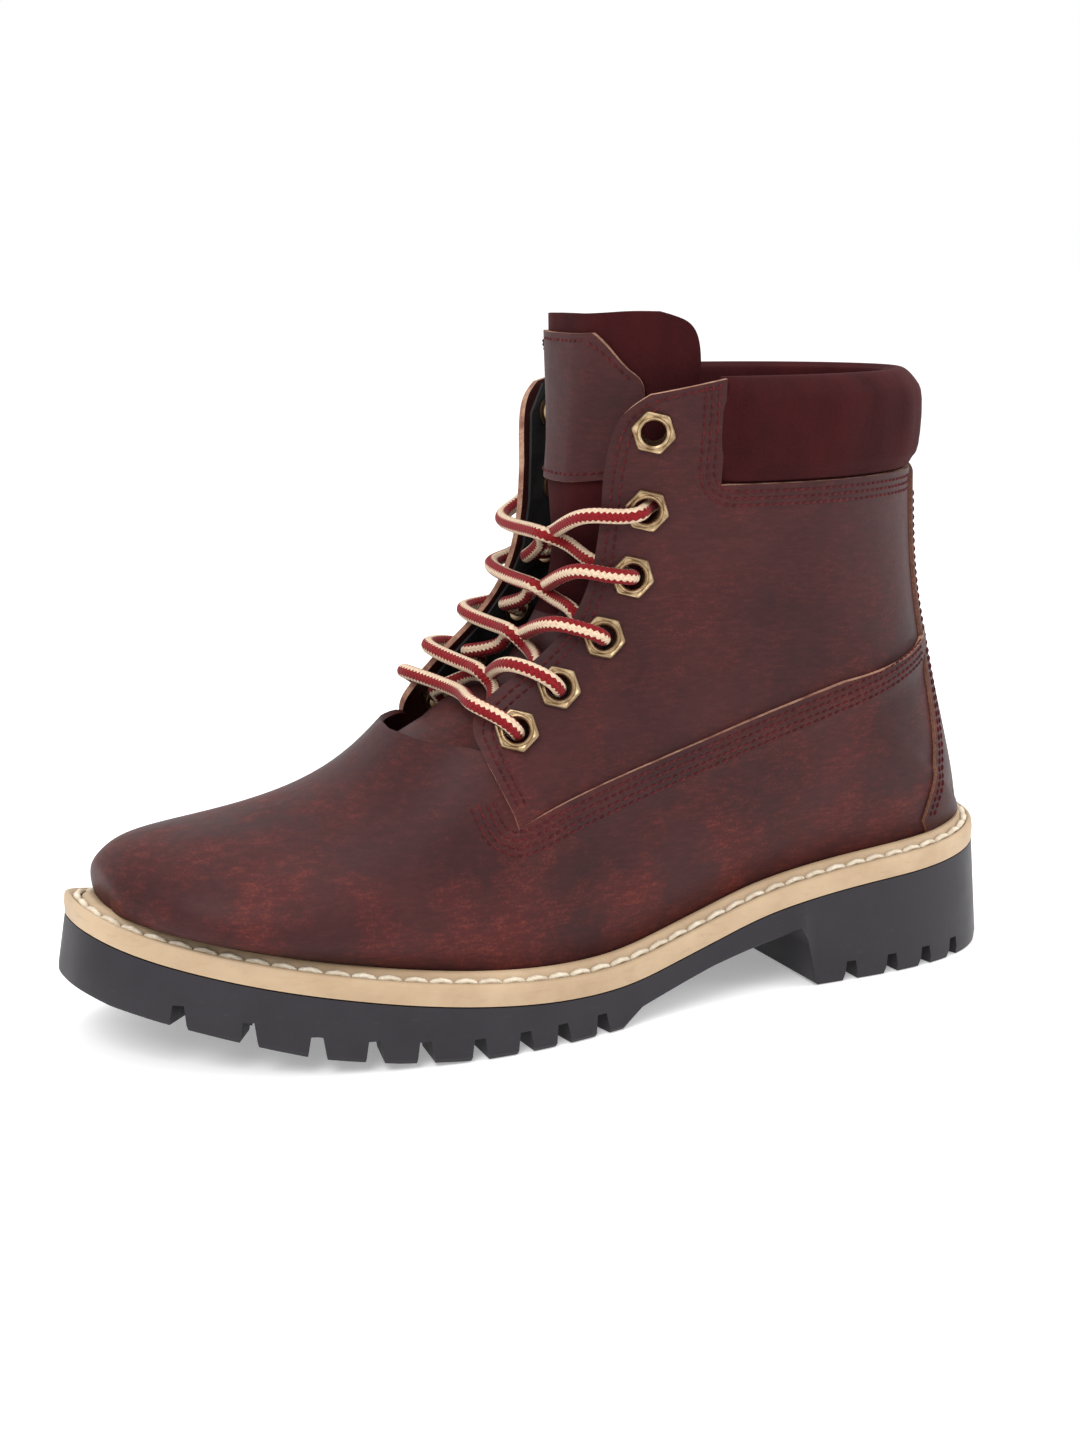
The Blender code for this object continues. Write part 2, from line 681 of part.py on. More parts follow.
def quarter_patches(side, inset=SEAM_GAP):
    """Facing block in front of the collar, and the rear block below it."""
    front = through(FACING_EDGE)(np.linspace(0, 1, 12))
    front[0] += inset * np.array([0.4, 1.0])
    heights = np.concatenate([np.linspace(82 + inset, 155, 9), np.linspace(155, 185, 4)[1:]])
    middle = np.column_stack([np.full(len(heights), COLLAR_FRONT_X), heights])
    rear = polyline([(x - inset, z) for x, z in QUARTER_REAR], 9)
    return [ruled(front, middle, 6, side), ruled(middle[:9], rear, 8, side)]


def backstay_patches():
    patches = []
    heights = np.linspace(0, 1, 9)
    for side in (LATERAL, MEDIAL):
        edge = spots(through(BACKSTAY_EDGE)(heights), side)
        edge[0] = edge[0, 0], side
        back_z = np.interp(heights, [0, 1], [float(feather_height(143.0)), 152.5])
        back = spine_spots(back_z, side)
        share = np.sin(np.linspace(0, math.pi / 2, 5))
        patches.append(edge[None] + (back - edge)[None] * share[:, None, None])
    return patches


def spine_spots(heights, side):
    """Spots on the back line at the given heights."""
    t = np.linspace(HEEL_T, 1, 200)
    z = back_line(t)[:, 1]
    return np.array([(float(np.interp(height, z, t)), side) for height in heights])


def lining_depth(places):
    toe = 1 - ease(places[:, 0], -88, -70)
    heel = ease(places[:, 0], 46, 62) * (1 - ease(places[:, 2], 98, 122))
    extra = (STIFFENED_LINING_DEPTH - LINING_DEPTH) * np.maximum(toe, heel)
    return LINING_DEPTH + extra


def lining_inside(places):
    return lining_depth(places) + LINING_THICKNESS


def vamp_lining_patches():
    patches = []
    line = [(-62, 75), (-52, 65.5), (-42, 55), (-31, 44), (-24, 31), (-17, 19)]
    for side in (LATERAL, MEDIAL):
        end = spots(line, side)
        end[0] = end[0, 0], 0.0
        end[-1] = end[-1, 0], side
        reach = np.linspace(0, 1, 15) ** 0.85
        top = np.column_stack([end[0, 0] * reach, 0 * reach])
        foot = np.column_stack([end[-1, 0] * reach, side + 0 * reach])
        rows = np.linspace(0, 1, len(line))
        lines = []
        for k, share in enumerate(rows):
            straight = top + (foot - top) * share ** 1.5
            bend = end[k] - straight[-1]
            lines.append(straight + bend[None] * reach[:, None] ** 3)
        patches.append(np.stack(lines, 1))
    return patches


LINING_FRONT = [(-14, 19.2), (-20, 31), (-24, 44), (-24.5, 58), (-25, 70), (-26, 80), (-30.5, 89),
                (-29, 95), (-21.5, 101.5), (-11, 111), (-2.5, 122.5), (2, 135), (3.5, 151), (4.5, 165),
                (7, 174.5), (12.5, 180)]


def quarter_lining_patches():
    """Both sides and the back, from the sole up to the facing's top and the collar's foot."""
    patches = []
    for side in (LATERAL, MEDIAL):
        front = spots(through(LINING_FRONT)(np.linspace(0, 1, 15)), side)
        front[0] = front[0, 0], side
        foot = float(feather_height(COLLAR_FRONT_X - 2))
        heights = np.concatenate([np.linspace(foot, 154, 12), np.linspace(154, 184, 4)[1:]])
        middle = spots([(COLLAR_FRONT_X - 2, z) for z in heights], side)
        middle[0] = middle[0, 0], side
        back_z = np.linspace(float(feather_height(143.0)), 153, 12)
        back = spine_spots(back_z, side)
        share = np.concatenate([np.linspace(0, 0.7, 6), 1 - 0.3 * np.cos(np.linspace(0.35, math.pi / 2, 4))])
        patches.append(between(front, middle, 6))
        patches.append(middle[None, :12] + (back - middle[:12])[None] * share[:, None, None])
    return patches


def counter_patches():
    patches = []
    heights = np.linspace(0, 1, 6)
    for side in (LATERAL, MEDIAL):
        edge = spots(through([(72, 54), (74, 64), (79, 74), (88, 85)])(heights), side)
        back_z = np.linspace(float(feather_height(143.0)) + 20, 94, 6)
        back = spine_spots(back_z, side)
        share = np.concatenate([np.linspace(0, 0.6, 5), 1 - 0.4 * np.cos(np.linspace(0.35, math.pi / 2, 5))])
        patches.append(edge[None] + (back - edge)[None] * share[:, None, None])
    return patches


def toe_puff_patches():
    patches = []
    t = np.array([0.0, 0.025, 0.05, 0.08, 0.115, 0.155, 0.19])
    for side in (LATERAL, MEDIAL):
        top = np.column_stack([t, 0 * t])
        foot = np.column_stack([t, side + 0 * t])
        patches.append(between(top, foot, 7, 1.5))
    return patches


def make_upper():
    shell("vamp", [vamp_patch(side) for side in (LATERAL, MEDIAL)], 0.0, LEATHER, leather())
    shell("toe_puff", toe_puff_patches(), STIFFENER_DEPTH, STIFFENER_DEPTH + STIFFENER_THICKNESS, board())
    shell("vamp_lining", vamp_lining_patches(), lining_depth, lining_inside, inner_leather())
    lining = shell("quarter_lining", quarter_lining_patches(), lining_depth, lining_inside, inner_leather())
    shell("heel_counter", counter_patches(), STIFFENER_DEPTH, STIFFENER_DEPTH + STIFFENER_THICKNESS, board())
    shell("backstay", backstay_patches(), 0.0, LEATHER, leather())
    for side, word in ((LATERAL, "lateral"), (MEDIAL, "medial")):
        quarter = shell(f"quarter_{word}", quarter_patches(side), 0.0, LEATHER, leather())
        holes = eyelet_cutter(side, word)
        cut(quarter, holes, "eyelet_holes")
        cut(lining, holes, f"eyelet_holes_{word}")


# ---------------------------------------------------------------- collar
COLLAR_COVER = [(0.0, 0.0), (0.12, -1.2), (0.35, -2.2), (0.65, -2.2), (0.88, -1.0), (1.0, 1.6), (1.05, 4.0),
                (1.0, 6.4), (0.88, 8.0), (0.5, 8.6), (0.0, 8.4), (0.0, 7.2), (0.5, 7.4), (0.84, 6.9),
                (0.93, 5.6), (0.97, 4.0), (0.93, 2.4), (0.84, 0.4), (0.62, -1.0), (0.35, -1.0), (0.12, 0.0),
                (0.0, 1.2)]
COLLAR_FOAM = [(0.02, 1.8), (0.14, 0.7), (0.36, -0.3), (0.6, -0.3), (0.8, 1.0), (0.88, 2.8), (0.91, 4.0),
               (0.88, 5.2), (0.8, 6.3), (0.5, 6.8), (0.02, 6.6)]


def collar_rings(profile, trim=0.0):
    """Rings of the collar's profile from the lateral front end round the back to the medial."""
    turn = np.linspace(trim, 1, 9)
    stations = [(q, LATERAL) for q in turn] + [(q, MEDIAL) for q in turn[::-1][1:]]
    rings = []
    for q, side in stations:
        share = math.sin(q * math.pi / 2)
        ring = []
        middle = (COLLAR_LOW + COLLAR_HIGH) / 2
        centre = collar_spot(share, middle, side)
        outward = last_normal(np.array([centre[0]]), np.array([centre[1]]))[0]
        outward[2] = 0
        outward /= np.linalg.norm(outward)
        for height, depth in profile:
            z = COLLAR_LOW + (COLLAR_HIGH - COLLAR_LOW) * height
            t, v = collar_spot(share, min(z, COLLAR_HIGH), side)
            place = last_point(np.array([t]), np.array([v]))[0]
            ring.append((*(place - outward * depth)[:2], z))
        rings.append(ring)
    return rings


def collar_spot(share, z, side):
    back = spine_spots([z], side)[0]
    if share > 0.9999:
        return back
    back_x = float(back_line(np.array([back[0]]))[0, 0])
    return spot(COLLAR_FRONT_X + 0.8 + (back_x - COLLAR_FRONT_X - 0.8) * share, z, side)


def make_collar():
    lofted("collar_cover", collar_rings(COLLAR_COVER), nubuck())
    lofted("collar_foam", collar_rings(COLLAR_FOAM, 0.02), inner_leather())


# ---------------------------------------------------------------- tongue
# rows from the ridge line to the tongue's side edge: ridge height, edge x, edge z
TONGUE_ROWS = [(77, -47, 63), (90, -33, 74), (104, -14, 91), (118, 3, 107), (133, 16, 124), (148, 23, 143),
               (164, 27, 162), (HINGE_HEIGHT - 0.4, 28.5, HINGE_HEIGHT - 0.4)]
FLAP_ROWS = [(HINGE_HEIGHT + 0.3, 28.5, HINGE_HEIGHT + 0.3), (188, 29, 188), (195.5, 28, 195.5),
             (200.5, 23.5, 200.5), (203, 15, 203)]


def ridge_spot(z):
    heights = ridge_line(T_SCAN)[:, 1]
    return float(np.interp(z, heights, T_SCAN))


def tongue_row(ridge_z, edge_x, edge_z, side, count=7):
    start = ridge_spot(ridge_z)
    start_x = float(ridge_line(np.array([start]))[0, 0])
    share = np.linspace(0, 1, count) ** 1.7
    row = [(start_x + (edge_x - start_x) * s, ridge_z + (edge_z - ridge_z) * s) for s in share]
    result = spots(row, side)
    result[0] = start, 0.0
    return result


def shin_depth(places):
    """The tongue sinks in behind the laces, less so at its top and its wings."""
    sink = TONGUE_SINK - TONGUE_TOP_RISE * ease(places[:, 2], 128, 156)
    sunk = sink * ease(places[:, 2], 88, 112) * (1 - ease(places[:, 0], 2, 26))
    return TONGUE_DEPTH + sunk + WING_TUCK * ease(places[:, 0], 14, 28)


def tongue_depth(places):
    """Just under the vamp at the throat, then down to leave room for the lace."""
    ahead = places[:, 2] + 0.75 * np.maximum(places[:, 0] + 60, 0) - TONGUE_ROWS[0][0]
    share = np.clip(ahead / THROAT_RAMP, 0, 1)
    return THROAT_DEPTH + (shin_depth(places) - THROAT_DEPTH) * share


def tongue_inside(places):
    return tongue_depth(places) + TONGUE_THICKNESS


def flap_inside(places):
    return shin_depth(places) + TONGUE_THICKNESS


def patch_outside(places):
    return shin_depth(places) - PATCH_RAISE


def patch_inside(places):
    return shin_depth(places) - PATCH_RAISE + PATCH_THICKNESS


def make_tongue():
    lower = []
    upper = []
    for side in (LATERAL, MEDIAL):
        lower.append(np.stack([tongue_row(*row, side) for row in TONGUE_ROWS]))
        upper.append(np.stack([tongue_row(*row, side) for row in FLAP_ROWS]))
    shell("tongue", lower, tongue_depth, tongue_inside, nubuck())
    shell("tongue_flap", upper, shin_depth, flap_inside, nubuck())
    patch_low = [(156, 8, 156), (168, 9, 168), (HINGE_HEIGHT - 0.6, 10, HINGE_HEIGHT - 0.6)]
    patch_high = [(HINGE_HEIGHT + 0.5, 10, HINGE_HEIGHT + 0.5), (189, 0, 189), (197, -7, 197)]
    for name, rows in (("tongue_patch_lower", patch_low), ("tongue_patch_upper", patch_high)):
        sides = []
        for side in (LATERAL, MEDIAL):
            sides.append(np.stack([tongue_row(*row, side, 5) for row in rows]))
        shell(name, sides, patch_outside, patch_inside, leather())


# ---------------------------------------------------------------- eyelets
BARREL_RADIUS = 4.1
WASHER_FACE = -4.9
EYELET_SIDES = 12
# rings of the turned eyelet: (radius, height above the leather, six-sided?)
EYELET_PROFILE = [(EYELET_BORE / 2, -0.4, False), (4.4, 1.6, False), (EYELET_FLATS / 2 - 0.5, 1.6, True),
                  (EYELET_FLATS / 2, 0.9, True), (BARREL_RADIUS, 0.9, False), (BARREL_RADIUS, -4.5, False),
                  (5.0, -4.5, False), (5.0, WASHER_FACE, False), (EYELET_BORE / 2, WASHER_FACE, False)]


def eyelet_frame(number, side):
    """Centre on the leather, outward direction, and the direction along the edge of the facing."""
    x, z = EYELETS[number]
    t, v = spot(x, z, side)
    centre = last_point(np.array([t]), np.array([v]))[0]
    outward = last_normal(np.array([t]), np.array([v]))[0]
    up = np.array([0.25, 0.0, 1.0])
    up -= outward * np.dot(up, outward)
    up /= np.linalg.norm(up)
    return centre, outward, up, np.cross(up, outward)


def ring_points(frame, radius, height, six=False, sides=EYELET_SIDES):
    centre, outward, up, across = frame
    points = []
    for k in range(sides):
        angle = 2 * math.pi * k / sides
        reach = radius
        if six:
            reach = radius / math.cos((angle + math.pi / 6) % (math.pi / 3) - math.pi / 6)
        points.append(centre + outward * height + (up * math.cos(angle) + across * math.sin(angle)) * reach)
    return points


def eyelet_cutter(side, word):
    vertices = []
    faces = []
    for number in range(len(EYELETS)):
        frame = eyelet_frame(number, side)
        start = len(vertices)
        for height in (-7.0, 4.0):
            vertices += ring_points(frame, BARREL_RADIUS + 0.4, height)
        for k in range(EYELET_SIDES):
            beside = (k + 1) % EYELET_SIDES
            faces.append([start + k, start + beside, start + EYELET_SIDES + beside, start + EYELET_SIDES + k])
        faces.append([start + k for k in range(EYELET_SIDES)][::-1])
        faces.append([start + EYELET_SIDES + k for k in range(EYELET_SIDES)])
    made = add_object(f"cutter_eyelets_{word}", vertices, faces, brass(), smooth=False)
    point_outward(made)
    return as_cutter(made)


def make_eyelets():
    for side, word in ((LATERAL, "lateral"), (MEDIAL, "medial")):
        for number in range(len(EYELETS)):
            frame = eyelet_frame(number, side)
            rings = [ring_points(frame, radius, height, six) for radius, height, six in EYELET_PROFILE]
            lofted(f"eyelet_{word}_{number + 1}", rings, brass(), closed=True)


# ---------------------------------------------------------------- lace
LACE_OVER = LACE_DIAMETER / 2 + 1.9
LACE_UNDER = WASHER_FACE - LACE_DIAMETER / 2 - 0.3
LACE_REST = LACE_DIAMETER / 2 + 1.25
LACED_PAIRS = 5
# where the strands leaving each pair cross, as a height on the ridge line
CROSSINGS = [106, 117.5, 129.5, 142]
# heights where the lace crosses the facing's edge: over it on the way to the next eyelet up, and
# under it on the way from the eyelet below
OVER_EDGE = {LATERAL: [104, 115.5, 130.5, 146.5], MEDIAL: [101, 111.5, 125.5, 140.5]}
UNDER_EDGE = {LATERAL: [96.5, 107, 120, 133.5], MEDIAL: [94, 104, 116.5, 130]}
BAR_EDGE = (-34.5, 92.5)


def along_leather(number, side, target):
    """Direction along the leather from an eyelet toward a side-view spot of the last."""
    centre, outward, _, _ = eyelet_frame(number, side)
    toward = off_spot(target, 0.0) - centre
    toward -= outward * np.dot(toward, outward)
    return toward / np.linalg.norm(toward)


def through_eyelet(number, side):
    """Points that carry the lace in through an eyelet from outside and back underneath."""
    centre, outward, _, _ = eyelet_frame(number, side)
    if number:
        over = along_leather(number, side, facing_spot(OVER_EDGE[side][number - 1], side, -1.0))
    else:
        over = along_leather(number, side, spot(*BAR_EDGE, side))
    if number < LACED_PAIRS - 1:
        under = along_leather(number, side, facing_spot(UNDER_EDGE[side][number], side, -1.0))
    else:
        under = -over
    return [centre + over * 7.4 + outward * (LACE_OVER + 0.2),
            centre + over * 2.8 + outward * (LACE_OVER - 0.1),
            centre - under * 0.4 - outward * 1.7,
            centre + under * 2.8 + outward * (LACE_UNDER + 0.1),
            centre + under * 7.4 + outward * LACE_UNDER]


def off_last(x, z, side, height):
    """Point at a height above the leather's outer surface."""
    t, v = np.array([spot(x, z, side)]).T
    return (last_point(t, v) + last_normal(t, v) * height)[0]


def on_tongue(t, v, height):
    """Point at a height above the tongue."""
    place = last_point([t], [v])
    return (place + last_normal([t], [v]) * (height - tongue_depth(place)[0]))[0]


def facing_spot(z, side, back):
    """Spot back mm behind the facing's edge at height z."""
    edge = through(FACING_EDGE)(np.linspace(0, 1, 80))[22:]
    return spot(float(np.interp(z, edge[:, 1], edge[:, 0])) + back, z, side)


def off_spot(place, height):
    t, v = [place[0]], [place[1]]
    return (last_point(t, v) + last_normal(t, v) * height)[0]


def strand(number, side):
    """From under one eyelet across the tongue to the top of the next eyelet opposite: the strands
    that leave the lateral side lie on top where they cross."""
    start = facing_spot(UNDER_EDGE[side][number], side, -1.0)
    end = facing_spot(OVER_EDGE[-side][number], -side, -2.6)
    middle = ridge_spot(CROSSINGS[number])
    lift = LACE_DIAMETER + 0.4 if side == LATERAL else 0.0
    points = [off_spot(start, LACE_UNDER - 0.3)]
    for from_ridge, place, raised in ((0.3, start, 0.2), (0.08, start, 0.9), (0.0, start, 1.0)):
        t = middle + (place[0] - middle) * from_ridge
        points.append(on_tongue(t, place[1] * from_ridge, LACE_REST + 0.2 + lift * raised))
    points.append(off_spot(end, LACE_DIAMETER / 2 + 0.6))
    return points


def lace_route():
    """One lace: from the medial top eyelet down to the lowest pair, across, and up again."""
    halves = []
    for first in (LATERAL, MEDIAL):
        points = []
        for number in range(LACED_PAIRS):
            side = first if number % 2 == 0 else -first
            points += through_eyelet(number, side)
            if number < LACED_PAIRS - 1:
                points += strand(number, side)
        halves.append(points)
    bar = [off_last(*BAR_EDGE, MEDIAL, LACE_OVER), on_tongue(ridge_spot(99.5), 0.0, LACE_REST + 1.5),
           off_last(*BAR_EDGE, LATERAL, LACE_OVER)]
    return halves[1][::-1] + bar + halves[0]


# the lace's free ends, tucked into the boot: down the wall inside the lining as (x, z, depth below
# the last), then along the footbed as (x, y)
TAIL_WALL = [(28, 145.5, 7.7), (34.5, 142, 7.9), (40, 136, 8.2), (44, 124, 8.6), (46.5, 108, 9.0),
             (48, 90, 9.2), (49, 72, 9.4), (50, 56, 9.8)]
TAIL_FLOOR = {LATERAL: [(55, -17.5), (64, -11), (74, -4), (85, 0.5), (98, 2)],
              MEDIAL: [(41, 15.5), (30, 11), (17, 9), (4, 10), (-7, 12.5)]}
FOOTBED_TOP = 11.6


def tail_route(side):
    """A free end from just past the laced part to the start of its aglet."""
    held = through_eyelet(LACED_PAIRS - 1, side)
    onward = (held[-1] - held[-2]) / np.linalg.norm(held[-1] - held[-2])
    points = [held[-1] + onward * step for step in (GAP, 2.5)]
    points += [off_last(x, z, side, -depth) for x, z, depth in TAIL_WALL]
    return points + [on_footbed(x, y) for x, y in TAIL_FLOOR[side]]


def on_footbed(x, y):
    """Where the middle of a lace end lies above the footbed."""
    return np.array([x, y, float(sole_top(x)) + FOOTBED_TOP + AGLET_DIAMETER / 2 + 0.9])


def resampled(points, spacing):
    """Evenly spaced points along the smooth curve through a route."""
    fine = through(points)(np.linspace(0, 1, 1200))
    length = float(np.linalg.norm(np.diff(fine, axis=0), axis=1).sum())
    return polyline(fine, int(round(length / spacing)) + 1)


def make_lace():
    tube("lace", lace_route(), LACE_DIAMETER, lace_red())
    for side, word in ((LATERAL, "lateral"), (MEDIAL, "medial")):
        route = tail_route(side)
        line = np.concatenate([route[:1], resampled(route[1:], TAIL_SPACING)])
        tube(f"lace_tail_{word}", line, LACE_DIAMETER, lace_red())
        level = (line[-1] - line[-2])[:2] / np.linalg.norm((line[-1] - line[-2])[:2])
        tip = on_footbed(*(line[-1][:2] + level * AGLET_LENGTH))
        ahead = (tip - line[-1]) / np.linalg.norm(tip - line[-1])
        aglet = [line[-1] + ahead * along for along in (GAP, AGLET_LENGTH + GAP)]
        tube(f"aglet_{word}", aglet, AGLET_DIAMETER, brass())


# ---------------------------------------------------------------- the folding top of the tongue
HINGE_X = 0.8


def make_hinge(pieces):
    """The fold line across the tongue, and the pieces above it that turn about it."""
    hinge = bpy.data.objects.new("tongue_fold", None)
    hinge.location = (np.array([HINGE_X, 0, HINGE_HEIGHT]) - CENTRE) * MM
    bpy.context.scene.collection.objects.link(hinge)
    for name in pieces:
        piece = bpy.data.objects[name]
        piece.parent = hinge
        piece.matrix_parent_inverse = Matrix.Translation(-hinge.location)


# ---------------------------------------------------------------- build
def clear_scene():
    for found in list(bpy.data.objects):
        bpy.data.objects.remove(found, do_unlink=True)


clear_scene()
make_outsole()
make_welt()
bottom_stack()
make_upper()
make_collar()
make_tongue()
make_eyelets()
make_lace()
make_hinge(("tongue_flap", "tongue_patch_upper"))
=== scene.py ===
"""Looks of a left lace-up ankle boot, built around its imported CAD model.

The design tables are in millimetres: toe toward -X, heel toward +X, outer (lateral) side -Y.
The upper is laid out on the last, where a spot is (t, v): t runs from the toe to the heel and
up the back, v from -1 on the lateral edge over the ridge line to +1 on the medial edge.
"""

import math

import bmesh
import bpy
import numpy as np
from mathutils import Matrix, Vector


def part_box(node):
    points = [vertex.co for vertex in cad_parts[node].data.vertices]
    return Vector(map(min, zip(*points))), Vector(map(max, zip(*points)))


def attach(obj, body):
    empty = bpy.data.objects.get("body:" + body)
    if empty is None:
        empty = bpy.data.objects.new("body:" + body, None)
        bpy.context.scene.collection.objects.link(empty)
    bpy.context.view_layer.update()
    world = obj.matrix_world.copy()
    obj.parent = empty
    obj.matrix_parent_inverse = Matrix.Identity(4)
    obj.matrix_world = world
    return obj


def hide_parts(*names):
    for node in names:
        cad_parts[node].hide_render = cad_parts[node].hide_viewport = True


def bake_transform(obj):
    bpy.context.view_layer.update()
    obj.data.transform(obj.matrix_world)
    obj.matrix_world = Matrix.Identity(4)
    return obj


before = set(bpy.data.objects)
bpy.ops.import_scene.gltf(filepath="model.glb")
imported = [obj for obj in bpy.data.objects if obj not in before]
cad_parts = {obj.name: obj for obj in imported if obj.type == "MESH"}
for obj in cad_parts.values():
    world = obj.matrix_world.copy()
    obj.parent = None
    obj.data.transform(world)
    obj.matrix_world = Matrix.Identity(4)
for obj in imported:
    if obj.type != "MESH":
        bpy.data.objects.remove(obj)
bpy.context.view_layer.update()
MM = 0.001
BOOT = "boot"

# ---- driving dimensions (mm) ----
GAP = 0.3
LEATHER = 1.8
TONGUE_DEPTH = 9.9
TONGUE_THICKNESS = 2.6
TONGUE_SINK = 11.0
TONGUE_TOP_RISE = 6.5
WING_TUCK = 1.6
THROAT_DEPTH = 2.6
THROAT_RAMP = 25.0
FEATHER_RISE = 7.1
SOLE_FLARE_X = 1.016
SOLE_FLARE_Y = 1.04
LUG_DEPTH = 6.0
LACE_DIAMETER = 4.4
AGLET_DIAMETER = 4.8
AGLET_LENGTH = 22.0
EYELET_FLATS = 11.3
EYELET_BORE = 7.2

# the middle of the boot's own box in the design tables, which is the part's origin
CENTRE = np.array([1.6, 0.7, 0.0])

# ---- sole plan: (x, y) from the toe tip to the heel's back ----
LATERAL_PLAN = [(-146, 9), (-145, -1), (-139.5, -12), (-123, -27), (-95, -43), (-60, -51), (-25, -51.5),
                (8, -45.5), (48, -39.5), (90, -39), (115, -36), (134, -27.5), (145, -14), (149, 0)]
MEDIAL_PLAN = [(-146, 9), (-145, 17), (-138, 27), (-122, 38.5), (-99, 49.5), (-68, 53.5), (-38, 51),
               (-5, 42.5), (40, 34.5), (80, 35.5), (112, 34.5), (133, 27), (145, 14), (149, 0)]
# height of the rubber's top edge, where the welt lies on it: (x, z)
SOLE_TOP = [(-149, 38), (-139, 33.5), (-122, 28.3), (-104, 24.5), (-85, 21), (-60, 16.7), (-37, 13.7),
            (-14, 12), (5, 12.6), (22, 16), (37, 19.8), (51, 23.6), (66, 26.6), (80, 28.6), (95, 30),
            (112, 31), (130, 32.5), (149, 34.5)]
# the rubber's underside: toe spring, flat ball, raised waist and flat heel: (x, z)
SOLE_BOTTOM = [(-150, 21), (-140, 17), (-129, 14), (-110, 9.5), (-91, 5), (-70, 2), (-52, 0.4), (-45, 0),
               (0, 0), (7, 5), (20, 8.5), (33, 12), (52, 16), (66, 18.5), (70, 0), (152, 0)]
# distance from the sole's edge in to the upper: (x, inset)
FEATHER_INSET = [(-146, 8.5), (-125, 8.8), (-105, 9), (110, 9), (134, 7.5), (148, 6)]

# ---- the last, one row for each cross-section ----
# t, ridge x, ridge z, outer x, outer z, lateral half width, medial half width,
# where the section is widest (0 ridge, 1 outer), fullness at the ridge and at the outer end, ridge y
LAST = [
    (0.00, -137.0, 44.0, -136.2, None, 8.0, 8.0, 0.80, 2.0, 1.00, 8.5),
    (0.03, -137.4, 49.0, -135.4, None, 17.0, 14.0, 0.80, 2.0, 1.00, 8.5),
    (0.07, -134.6, 53.5, -132.4, None, 24.0, 20.0, 0.80, 2.0, 1.00, 8.0),
    (0.12, -127.5, 57.3, -125.0, None, 34.0, 29.0, 0.80, 2.0, 1.00, 7.0),
    (0.20, -109.0, 60.3, -108.0, None, 45.0, 41.0, 0.78, 2.0, 1.00, 5.0),
    (0.29, -86.0, 64.3, -80.0, None, 50.0, 48.0, 0.76, 2.0, 1.00, 3.0),
    (0.37, -65.5, 72.5, -52.0, None, 49.0, 50.5, 0.74, 2.0, 1.00, 1.5),
    (0.44, -50.5, 86.0, -22.0, None, 45.5, 47.0, 0.74, 2.1, 1.00, 0.5),
    (0.51, -36.0, 104.0, 10.0, None, 43.0, 43.0, 0.72, 2.3, 1.00, 0.0),
    (0.58, -23.0, 124.0, 50.0, None, 41.0, 40.0, 0.68, 2.4, 1.00, 0.0),
    (0.65, -15.0, 143.0, 92.0, None, 40.0, 39.0, 0.62, 2.5, 1.00, 0.0),
    (0.71, -12.5, 157.0, 124.0, None, 40.5, 40.0, 0.56, 2.6, 0.85, 0.0),
    (0.77, -11.5, 168.0, 143.0, None, 41.5, 41.5, 0.52, 2.6, 0.54, 0.0),
    (0.83, -11.0, 178.0, 135.5, 71.0, 43.0, 43.0, 0.50, 2.6, 0.54, 0.0),
    (0.89, -10.7, 188.0, 127.0, 101.0, 44.5, 44.5, 0.48, 2.6, 0.55, 0.0),
    (0.95, -10.5, 199.0, 121.5, 138.0, 46.0, 46.0, 0.47, 2.6, 0.55, 0.0),
    (1.00, -10.3, 214.0, 120.3, 197.0, 47.5, 47.5, 0.47, 2.6, 0.55, 0.0),
]
HEEL_T = 0.77
LATERAL = -1
MEDIAL = 1

# ---- side-view outlines of the upper's pieces: (x, z) ----
FACING_EDGE = [(-30, 63), (-33, 71), (-36, 80), (-37, 88), (-32, 95.5), (-24, 102), (-13, 111), (-4.5, 122),
               (0, 135), (2, 151), (3, 165), (6, 175.5), (12, 181)]
BACKSTAY_EDGE = [(115, 42), (117.5, 57), (118, 68), (117, 84), (115, 104), (113.2, 126), (112, 152.5)]
COLLAR_FRONT_X = 33.0
COLLAR_LOW = 156.0
COLLAR_HIGH = 185.0
EYELETS = [(-26.5, 87), (-13.5, 98.5), (0.5, 112), (9.5, 129), (13.5, 148), (13.5, 170.5)]


# ---------------------------------------------------------------- curves
def spline(knots, values):
    """Natural cubic spline through values at the knots."""
    knots = np.asarray(knots, float)
    values = np.asarray(values, float)
    flat = values.ndim == 1
    if flat:
        values = values[:, None]
    count = len(knots)
    step = np.diff(knots)
    matrix = np.eye(count)
    right = np.zeros_like(values)
    for i in range(1, count - 1):
        matrix[i, i - 1:i + 2] = step[i - 1], 2 * (step[i - 1] + step[i]), step[i]
        rise = (values[i + 1] - values[i]) / step[i] - (values[i] - values[i - 1]) / step[i - 1]
        right[i] = 6 * rise
    bend = np.linalg.solve(matrix, right)

    def at(where):
        where = np.clip(np.asarray(where, float), knots[0], knots[-1])
        i = np.clip(np.searchsorted(knots, where, side="right") - 1, 0, count - 2)
        width = step[i][..., None]
        a = (knots[i + 1] - where)[..., None] / width
        b = 1 - a
        result = a * values[i] + b * values[i + 1]
        result = result + ((a ** 3 - a) * bend[i] + (b ** 3 - b) * bend[i + 1]) * width ** 2 / 6
        return result[..., 0] if flat else result

    return at


def through(points):
    """Smooth curve through points, read from 0 at its start to 1 at its end."""
    points = np.asarray(points, float)
    gaps = np.linalg.norm(np.diff(points, axis=0), axis=1) ** 0.7
    knots = np.concatenate([[0], np.cumsum(gaps)])
    return spline(knots / knots[-1], points)


